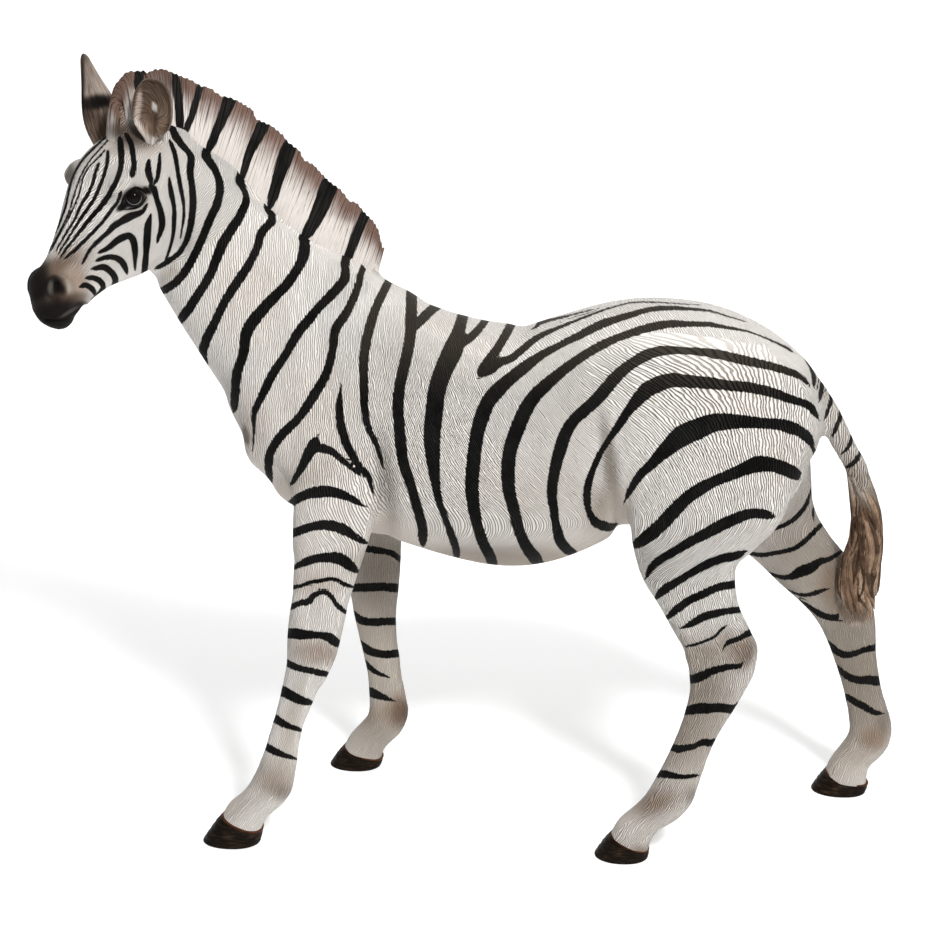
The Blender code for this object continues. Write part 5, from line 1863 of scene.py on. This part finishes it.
@dataclass(frozen=True)
class TailPaint:
    """Brown brush with dark grooves, and pale locks that are partly beige hair and partly painted highlights."""
    brown: Colour = (0.185, 0.116, 0.074)
    dark: Colour = (0.046, 0.028, 0.018)
    pale: Colour = (0.36, 0.265, 0.185)

    def material(self) -> bpy.types.Material:
        """Builds the finish.

        Returns:
            The material.
        """
        sh = Shader("painted_tail")
        tone = sh.attribute("tone")
        down = sh.attribute("down")
        blot = sh.noise(sh.place(), 55.0, 3.0)
        value = sh.math("ADD", sh.math("MULTIPLY", tone, 0.9), sh.math("MULTIPLY", sh.math("SUBTRACT", blot, 0.4), 0.9))
        colour = sh.mix(sh.step(value, 0.10, 0.75), (*self.dark, 1.0), (*self.brown, 1.0))
        # Pale locks, more of them lower down the brush: partly beige hair, partly painted highlights.
        light = sh.math("MULTIPLY", sh.step(value, 0.55, 1.15), sh.step(down, 0.55, 0.95, 0.55, 1.0))
        colour = sh.mix(light, colour, (*self.pale, 1.0))
        root = sh.step(down, 0.02, 0.30, 0.75, 0.0)
        colour = sh.mix(root, colour, (*BEIGE, 1.0))
        fine = sh.noise(sh.scaled(sh.place(), (900.0, 900.0, 90.0)), 1.0, 2.0, 0.6)
        colour = sh.times(sh.step(fine, 0.55, 0.35), colour, (0.55, 0.50, 0.45, 1.0))
        return sh.finish(colour, sh.step(blot, 0.3, 0.7, 0.5, 0.7), fine, 0.0012, 0.8)


@dataclass
class Casting:
    """The figure's body: the solid made finer, smoothed, carved and painted."""
    node: str = "zebra"
    voxel: float = 0.0057
    rounds: int = 26
    legs: tuple = (LEG_NEAR_FORE, LEG_FAR_FORE, LEG_NEAR_HIND, LEG_FAR_HIND)
    lean_places: tuple[float, ...] = (-0.30, -0.20, -0.12, -0.05, 0.05, 0.12, 0.18, 0.24, 0.30, 0.36, 0.42)
    leans: tuple[float, ...] = (0.02, 0.10, 0.35, 0.65, 0.95, 1.05, 0.85, 0.55, 0.25, 0.05, 0.0)
    lean_height: float = 0.50
    face_hair: tuple[float, float, float] = (1.5, 2.0, 2.0)

    def solid(self, mane: Mane, tuft: TailTuft) -> bpy.types.Mesh:
        """Copies the CAD solid with its ears, mane, hooves and tuft drawn in.

        Args:
            mane: the finer mane.
            tuft: the finer tuft.

        Returns:
            A voxel mesh of it.
        """
        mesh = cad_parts[self.node].data.copy()
        weld = bmesh.new()
        weld.from_mesh(mesh)
        bmesh.ops.remove_doubles(weld, verts=weld.verts, dist=1e-6)
        weld.to_mesh(mesh)
        weld.free()
        skin = Skin.of(mesh)
        for ear in EARS:
            skin.co = ear.collapse(skin.co)
        skin.co = mane.collapse(skin.co)
        for hoof in HOOVES:
            skin.co = hoof.collapse(skin.co)
        skin.co = tuft.collapse(skin.co)
        skin.store(mesh)
        holder = bpy.data.objects.new("cast_source", mesh)
        bpy.context.scene.collection.objects.link(holder)
        remesh = holder.modifiers.new("voxels", "REMESH")
        remesh.mode = "VOXEL"
        remesh.voxel_size = self.voxel
        made = bpy.data.meshes.new_from_object(holder.evaluated_get(bpy.context.evaluated_depsgraph_get()))
        bpy.data.objects.remove(holder)
        made.name = self.node
        return made

    @staticmethod
    def head_zone(co: Array, near_only: bool) -> Array:
        """Which places are on the head.

        Args:
            co: places.
            near_only: whether only the side that the photograph shows counts.

        Returns:
            True for those on it.
        """
        off = co - HEAD_AT
        along, left, brow = off @ HEAD_ALONG, off @ HEAD_LEFT, off @ HEAD_BROW
        zone = (along > 0.0) & (brow > -0.100) & (co[:, 2] > 0.67)
        if near_only:
            zone &= (along > 0.030) & ((left > 0.004) | ((brow > 0.02) & (left > -0.018))) & (brow > -0.090)
        return zone

    def refine(self, mesh: bpy.types.Mesh) -> None:
        """Divides the head's faces, and those of its seen side once more.

        Args:
            mesh: the casting's mesh.
        """
        for near_only in (False, True):
            build = bmesh.new()
            build.from_mesh(mesh)
            middles = np.array([face.calc_center_median() for face in build.faces])
            zone = self.head_zone(middles, near_only)
            edges = {edge for face, inside in zip(build.faces, zone) if inside for edge in face.edges}
            bmesh.ops.subdivide_edges(build, edges=list(edges), cuts=1, use_grid_fill=True)
            build.to_mesh(mesh)
            build.free()
            mesh.update()
            skin = Skin.of(mesh)
            skin.relax(7, self.head_zone(skin.co, near_only).astype(float))
            skin.store(mesh)

    def hair(self, atlas: Atlas) -> Array:
        """Coordinates whose third axis follows the tooled hair.

        Args:
            atlas: the casting's vertices.

        Returns:
            Rows of place across the hair, in depth and along it.
        """
        own = atlas.co - TABLE_ORIGIN
        x, y, z = own.T
        lean = np.interp(x + TABLE_ORIGIN[0], self.lean_places, self.leans)
        body = x + lean * (z - self.lean_height)
        leg = x.copy()
        for number, line in enumerate(self.legs):
            rows = np.array(line)
            middle = np.interp(z, rows[:, 0], rows[:, 1])
            knee = np.interp(0.42, rows[:, 0], rows[:, 1])
            chosen = atlas.leg == number
            leg[chosen] = (x - middle + knee)[chosen]
        low = smooth(z, 0.46, 0.36)
        return np.stack((body + low * (leg - body), y, z), axis=1) * (1.0 + 0.25 * low[:, None])

    def tint(self, atlas: Atlas) -> Array:
        """Paint colour under the stripes, with painted shade on surfaces that face down.

        Args:
            atlas: the casting's vertices.

        Returns:
            Rows of linear colour.
        """
        colour = np.tile(np.array(CREAM), (len(atlas.co), 1))
        for chart, rows in atlas.each():
            for patch in PATCHES[chart]:
                share = patch.weight(atlas.flat[rows])[:, None]
                colour[rows] += share * (np.array(patch.colour) - colour[rows])
        # Surfaces that face down, on the body above the legs, are darkened towards beige: painted shade.
        under = smooth(atlas.normals[:, 2], -0.35, -0.85) * smooth(atlas.co[:, 2], 0.30, 0.36) * (atlas.co[:, 0] > -0.3)
        return colour + 0.55 * under[:, None] * (np.array(BEIGE) - colour)

    def fur(self, atlas: Atlas) -> Array:
        """How strongly the hair is tooled.

        Args:
            atlas: the casting's vertices.

        Returns:
            A share between 0 and 1 for each vertex.
        """
        own = atlas.co - TABLE_ORIGIN
        belly = smooth(atlas.normals[:, 2], -0.25, -0.75) * smooth(own[:, 2], 0.30, 0.36)
        inner = smooth(own[:, 1] * -atlas.normals[:, 1] / 0.1, 0.2, 0.6) * smooth(own[:, 2], 0.46, 0.40)
        muzzle = smooth((atlas.co - HEAD_AT) @ HEAD_ALONG, 0.190, 0.225) * (atlas.head > 0.5)
        flank = np.exp(-((own[:, 0] - 0.205) / 0.022) ** 2 - ((own[:, 2] - 0.43) / 0.07) ** 2)
        strength = (1.0 - 0.85 * belly) * (1.0 - 0.45 * inner) * (1.0 - 0.85 * muzzle) * (1.0 - 0.7 * flank)
        strength *= 0.50 + 0.50 * np.maximum(smooth(own[:, 0], -0.22, -0.02), atlas.head)
        strength *= 1.0 - 0.55 * smooth(atlas.normals[:, 2], 0.45, 0.80) * (1.0 - atlas.head)
        return np.clip(strength * (1.0 - 0.25 * smooth(own[:, 2], 0.30, 0.20)), 0.0, 1.0)

    def paint(self, mesh: bpy.types.Mesh, atlas: Atlas) -> None:
        """Stores what the material reads.

        Args:
            mesh: the casting's mesh.
            atlas: its vertices.
        """
        count = len(atlas.co)
        stripes = np.zeros((3, count))
        fine = atlas.head * (((atlas.co - HEAD_AT) @ HEAD_LEFT) > 0.0)
        for chart, rows in atlas.each():
            stripes[:, rows] = painted(atlas.flat[rows], STROKES[chart], (3.5 - 2.6 * fine)[rows])
        put_stripes(mesh, stripes)
        own = atlas.co - TABLE_ORIGIN
        off = atlas.co - HEAD_AT
        along, left, brow = off @ HEAD_ALONG, off @ HEAD_LEFT, off @ HEAD_BROW
        facing = np.abs(atlas.normals)
        put_attribute(mesh, "hair", self.hair(atlas))
        put_attribute(mesh, "front_hair", own[:, [1, 0, 2]])
        x, y, z = own.T
        put_attribute(mesh, "back_hair", np.stack((0.87 * x - 0.5 * np.abs(y), z, 0.5 * x + 0.87 * np.abs(y)), axis=1))
        put_attribute(mesh, "face_hair", np.stack((brow, left, along), axis=1) * self.face_hair)
        put_attribute(mesh, "brow_hair", np.stack((left, brow, along), axis=1) * self.face_hair)
        put_attribute(mesh, "head", atlas.head)
        put_attribute(mesh, "front", smooth(facing[:, 0] - 1.2 * facing[:, 1], -0.2, 0.2))
        put_attribute(mesh, "top", smooth(atlas.normals[:, 2], 0.70, 0.90))
        put_attribute(mesh, "brow", smooth(np.abs(atlas.normals @ HEAD_BROW), 0.6, 0.8))
        put_attribute(mesh, "fur", self.fur(atlas))
        put_attribute(mesh, "tint", self.tint(atlas))
        # share of brown in the black strokes: along the top of the back, and some on the tail
        back = smooth(own[:, 2], 0.585, 0.665) * smooth(own[:, 0], -0.17, -0.10)
        tail = (atlas.chart == Chart.TAIL.value) * 0.3
        put_attribute(mesh, "stripe_brown", np.maximum(back, tail))

    def build(self, material: bpy.types.Material, mane: Mane, tuft: TailTuft) -> bpy.types.Object:
        """Makes the body.

        Args:
            material: its paint.
            mane: the finer mane.
            tuft: the finer tuft.

        Returns:
            The piece.
        """
        mesh = self.solid(mane, tuft)
        skin = Skin.of(mesh)
        skin.relax(self.rounds)
        skin.store(mesh)
        self.refine(mesh)
        atlas = Atlas(Skin.of(mesh).co, vertex_normals(mesh))
        skin = Skin.of(mesh)
        for chart, rows in atlas.each():
            for carve in CARVINGS[chart]:
                lift = carve.lift(atlas.flat[rows])
                skin.co[rows] += atlas.normals[rows] * lift[:, None]
        skin.store(mesh)
        self.paint(mesh, atlas)
        return add_piece("cast_body", mesh, material, (self.node,))


@dataclass(frozen=True)
class GlassEye:
    """A glossy eye: black pupil, dark iris, and a thin pale ring on its lower part that is a painted reflection of the
    pale floor.
    """
    pupil: float = 34.0        # degrees from the axis
    iris: float = 57.0
    ring: float = 61.0
    black: Colour = (0.004, 0.0035, 0.0032)
    brown: Colour = (0.0062, 0.0048, 0.0040)
    pale: Colour = (0.34, 0.34, 0.35)

    def material(self) -> bpy.types.Material:
        """Builds the finish.

        Returns:
            The material.
        """
        sh = Shader("eye_gloss")
        turn = sh.attribute("turn")
        grain = sh.noise(sh.place(), 900.0, 2.0)
        colour = sh.mix(sh.step(turn, self.pupil - 3.0, self.pupil + 3.0), (*self.black, 1.0),
                        sh.mix(grain, (*self.black, 1.0), (*self.brown, 1.0)))
        edge = sh.math("MULTIPLY", sh.step(turn, self.iris - 2.0, self.iris), sh.step(turn, self.ring + 2.0, self.ring))
        # The pale ring is kept to the lower part of the eye: painted reflection of the pale floor.
        edge = sh.math("MULTIPLY", edge, sh.step(sh.attribute("low"), -0.35, 0.55))
        colour = sh.mix(sh.math("MULTIPLY", edge, sh.step(grain, 0.3, 0.7, 0.55, 0.9)), colour, (*self.pale, 1.0))
        outside = sh.step(turn, self.ring, self.ring + 6.0)
        colour = sh.mix(outside, colour, (*self.black, 1.0))
        return sh.finish(colour, 0.08, grain, 0.00005, 0.1, 0.05)

    def build(self, name: str, node: str, side: float, material: bpy.types.Material) -> bpy.types.Object:
        """Makes one eye.

        Args:
            name: piece name.
            node: CAD node that it stands for.
            side: 1 for the left, -1 for the right.
            material: its finish.

        Returns:
            The piece.
        """
        along, left, brow = EYE_PLACE
        middle = HEAD_AT + HEAD_ALONG * along + HEAD_LEFT * (left * side) + HEAD_BROW * brow
        axis = HEAD_LEFT * (0.84 * side) + HEAD_BROW * 0.50 + HEAD_ALONG * 0.20
        axis /= np.linalg.norm(axis)
        build = bmesh.new()
        bmesh.ops.create_uvsphere(build, u_segments=56, v_segments=36, radius=EYE_RADIUS)
        turn = Vector((0.0, 0.0, 1.0)).rotation_difference(Vector(axis)).to_matrix()
        bmesh.ops.rotate(build, verts=build.verts, matrix=turn)
        bmesh.ops.translate(build, verts=build.verts, vec=Vector(middle))
        mesh = bpy.data.meshes.new(name)
        build.to_mesh(mesh)
        build.free()
        out = (Skin.of(mesh).co - middle) / EYE_RADIUS
        put_attribute(mesh, "turn", np.degrees(np.arccos(np.clip(out @ axis, -1.0, 1.0))))
        put_attribute(mesh, "low", -out[:, 2])
        return add_piece(name, mesh, material, (node,))


@dataclass
class Eyelids:
    """Lids and lashes of one eye, laid on the eye and the skin along lines seen in the photograph."""
    upper: tuple = ((120, 209), (122, 202), (126, 194), (131, 189.5), (137, 188), (143, 190.5), (147, 195))
    lower: tuple = ((120, 209), (125, 209), (131, 208.5), (137, 207.5), (143, 203), (147, 195))
    thick: float = 0.0015
    lashes: int = 15
    lash_length: float = 0.0075

    def on_skin(self, body: bpy.types.Object, eye: bpy.types.Object, points: tuple) -> Array:
        """Places on the skin or eye that the photograph shows at picture points.

        Args:
            body: the casting.
            eye: the eye.
            points: picture x and y.

        Returns:
            Rows of x, y, z.
        """
        ahead, right, up = VIEW.axes()
        start = Vector(VIEW.eye)
        found = []
        for x, y in spline(np.array(points, float), 4):
            ray = ahead + right * (x - VIEW.picture / 2) / VIEW.focal + up * (VIEW.picture / 2 - y) / VIEW.focal
            ray = Vector(ray).normalized()
            hits = [piece.ray_cast(start, ray) for piece in (body, eye)]
            spots = [spot for hit, spot, _, _ in hits if hit]
            if spots:
                found.append(min(spots, key=lambda spot: (spot - start).length))
        return np.array(found)

    def build(self, body: bpy.types.Object, eye: bpy.types.Object,
              material: bpy.types.Material) -> list[bpy.types.Object]:
        """Makes the lids of both eyes.

        Args:
            body: the casting.
            eye: the left eye.
            material: dark paint.

        Returns:
            The pieces.
        """
        along, left, brow = EYE_PLACE
        middle = HEAD_AT + HEAD_ALONG * along + HEAD_LEFT * left + HEAD_BROW * brow
        parts = []
        for name, points, scale in (("upper", self.upper, 1.15), ("lower", self.lower, 0.85)):
            line = self.on_skin(body, eye, points)
            line = np.stack([np.convolve(np.pad(line[:, k], 2, mode="edge"), np.ones(5) / 5, mode="valid")
                             for k in range(3)], axis=1)
            out = line - middle
            out /= np.linalg.norm(out, axis=1)[:, None]
            share = np.sin(np.linspace(0.12, math.pi - 0.12, len(line))) ** 0.5
            parts.append((line + out * 0.0004, self.thick * scale * share))
            if name == "upper":
                parts += self.lash_lines(line[3:-2], out[3:-2])
        pieces = []
        for tag, side in (("left", 1.0), ("right", -1.0)):
            verts, faces = [], []
            for line, thick in parts:
                self.tube(verts, faces, line, thick)
            co = np.array(verts)
            if side < 0:
                co -= 2.0 * ((co - HEAD_AT) @ HEAD_LEFT)[:, None] * HEAD_LEFT
                faces = [tuple(reversed(face)) for face in faces]
            mesh = bpy.data.meshes.new("eyelids_" + tag)
            mesh.from_pydata(list(map(tuple, co)), [], faces)
            mesh.update()
            pieces.append(add_piece("eyelids_" + tag, mesh, material))
        return pieces

    def lash_lines(self, line: Array, out: Array) -> list[tuple[Array, Array]]:
        """Short curved lashes along the upper lid.

        Args:
            line: the lid.
            out: directions away from the eye.

        Returns:
            Each lash's centre line and half thickness.
        """
        rng = np.random.default_rng(3)
        made = []
        for number in range(self.lashes):
            at = (number + 0.5) / self.lashes * (len(line) - 1)
            base = np.array([np.interp(at, np.arange(len(line)), line[:, k]) for k in range(3)])
            away = np.array([np.interp(at, np.arange(len(out)), out[:, k]) for k in range(3)])
            lean = away * 0.5 + HEAD_LEFT * 0.55 + HEAD_BROW * 0.25 + HEAD_ALONG * rng.uniform(-0.2, 0.5)
            lean /= np.linalg.norm(lean)
            reach = self.lash_length * rng.uniform(0.6, 1.0)
            t = np.linspace(0, 1, 6)[:, None]
            curve = base + lean * (reach * t) + np.array((0.0, 0.0, 1.0)) * (reach * 0.35 * t * t)
            made.append((curve, 0.00034 * (1.0 - 0.85 * t[:, 0])))
        return made

    @staticmethod
    def tube(verts: list, faces: list, line: Array, thick: Array, sides: int = 8) -> None:
        """Adds a tube.

        Args:
            verts: list that its vertices go to.
            faces: list that its faces go to.
            line: centre line.
            thick: half thickness along it.
            sides: points around.
        """
        ahead = np.gradient(line, axis=0)
        ahead /= np.maximum(np.linalg.norm(ahead, axis=1), 1e-9)[:, None]
        across = np.cross(ahead, HEAD_LEFT)
        across /= np.maximum(np.linalg.norm(across, axis=1), 1e-9)[:, None]
        up = np.cross(ahead, across)
        first = len(verts)
        for k in range(len(line)):
            for side in range(sides):
                a = 2.0 * math.pi * side / sides
                verts.append(tuple(line[k] + (across[k] * math.cos(a) + up[k] * math.sin(a)) * thick[k]))
        for k in range(len(line) - 1):
            for side in range(sides):
                n = (side + 1) % sides
                low = first + k * sides
                faces.append((low + side, low + n, low + sides + n, low + sides + side))
        faces.append(tuple(first + side for side in reversed(range(sides))))
        faces.append(tuple(first + (len(line) - 1) * sides + side for side in range(sides)))


@dataclass(frozen=True)
class LidPaint:
    """Satin black around the eyes."""
    black: Colour = (0.0035, 0.0031, 0.0029)

    def material(self) -> bpy.types.Material:
        """Builds the finish.

        Returns:
            The material.
        """
        sh = Shader("painted_lid")
        grain = sh.noise(sh.place(), 600.0, 3.0, 0.6)
        colour = sh.mix(sh.step(grain, 0.4, 0.8, 0.0, 0.5), (*self.black, 1.0), (0.012, 0.010, 0.009, 1.0))
        return sh.finish(colour, sh.step(grain, 0.3, 0.7, 0.38, 0.52), grain, 0.0004, 0.6)


@dataclass
class Studio:
    """Plain pale floor that curves up behind, and soft light from the upper right in front."""
    front: float = -6.0
    turn: float = 4.2
    rise: float = 5.0
    half_width: float = 9.0
    bend: float = 1.6

    def floor(self) -> bpy.types.Object:
        """Makes the floor and backdrop.

        Returns:
            The object, which isn't part of the figure.
        """
        profile = [(self.front, 0.0), (self.turn, 0.0)]
        for k in range(1, 17):
            a = math.pi / 2 * k / 16
            profile.append((self.turn + self.bend * math.sin(a), self.bend * (1 - math.cos(a))))
        profile.append((self.turn + self.bend, self.rise))
        verts = [(x, y, z) for y, z in profile for x in (-self.half_width, self.half_width)]
        faces = [(2 * k, 2 * k + 1, 2 * k + 3, 2 * k + 2) for k in range(len(profile) - 1)]
        mesh = bpy.data.meshes.new("studio_floor")
        mesh.from_pydata(verts, [], faces)
        floor = bpy.data.objects.new("studio_floor", mesh)
        bpy.context.scene.collection.objects.link(floor)
        sh = Shader("pale_floor")
        cloud = sh.noise(sh.place(), 0.8, 2.0)
        sh.feed(sh.surface.inputs["Emission Color"], (1.0, 1.0, 1.0))
        sh.feed(sh.surface.inputs["Emission Strength"], 0.22)
        mesh.materials.append(sh.finish(sh.mix(cloud, (0.90, 0.90, 0.90, 1.0), (0.93, 0.93, 0.93, 1.0)), 0.85))
        return floor

    def light(self, name: str, place: tuple, aim: tuple, size: float, power: float) -> None:
        """Adds a soft lamp.

        Args:
            name: its name.
            place: where it stands.
            aim: where it points.
            size: side of its square, metres.
            power: watts.
        """
        data = bpy.data.lights.new(name, "AREA")
        data.size = size
        data.energy = power
        lamp = bpy.data.objects.new(name, data)
        lamp.location = place
        lamp.rotation_euler = (Vector(aim) - Vector(place)).to_track_quat("-Z", "Y").to_euler()
        bpy.context.scene.collection.objects.link(lamp)

    def build(self) -> None:
        """Makes the floor, the sky and the lamps."""
        self.floor()
        world = bpy.data.worlds.new("studio_sky")
        world.use_nodes = True
        sky = world.node_tree.nodes["Background"]
        sky.inputs[0].default_value = (1.0, 1.0, 1.0, 1.0)
        sky.inputs[1].default_value = 0.20
        bpy.context.scene.world = world
        self.light("key", (1.3, -2.6, 2.9), (-0.05, 0.0, 0.55), 0.7, 184.0)
        self.light("fill", (-2.8, -3.0, 1.4), (0.0, 0.0, 0.5), 2.0, 5.0)
        self.light("backdrop_wash", (0.0, 2.4, 4.4), (0.0, 5.2, 0.6), 4.0, 170.0)
        bpy.context.scene.view_settings.view_transform = "Standard"


class Figure:
    """The whole zebra: every piece and its paint."""

    def __init__(self) -> None:
        self.mane = Mane()
        self.tuft = TailTuft()
        self.casting = Casting()

    def build(self) -> None:
        """Makes the pieces."""
        body = self.casting.build(FurPaint().material(), self.mane, self.tuft)
        self.mane.build(ManePaint().material())
        ear_paint = EarPaint().material()
        for ear in EARS:
            ear.build(ear_paint)
        horn = HoofPaint().material()
        for hoof in HOOVES:
            hoof.build(horn)
        self.tuft.build(TailPaint().material())
        glass = GlassEye()
        gloss = glass.material()
        left = glass.build("glass_eye_left", "eye_left", 1.0, gloss)
        glass.build("glass_eye_right", "eye_right", -1.0, gloss)
        Eyelids().build(body, left, LidPaint().material())


def main() -> None:
    """Builds the scene and notes the sizes."""
    Figure().build()
    Studio().build()
    VIEW.build()


if __name__ == "__main__":
    main()
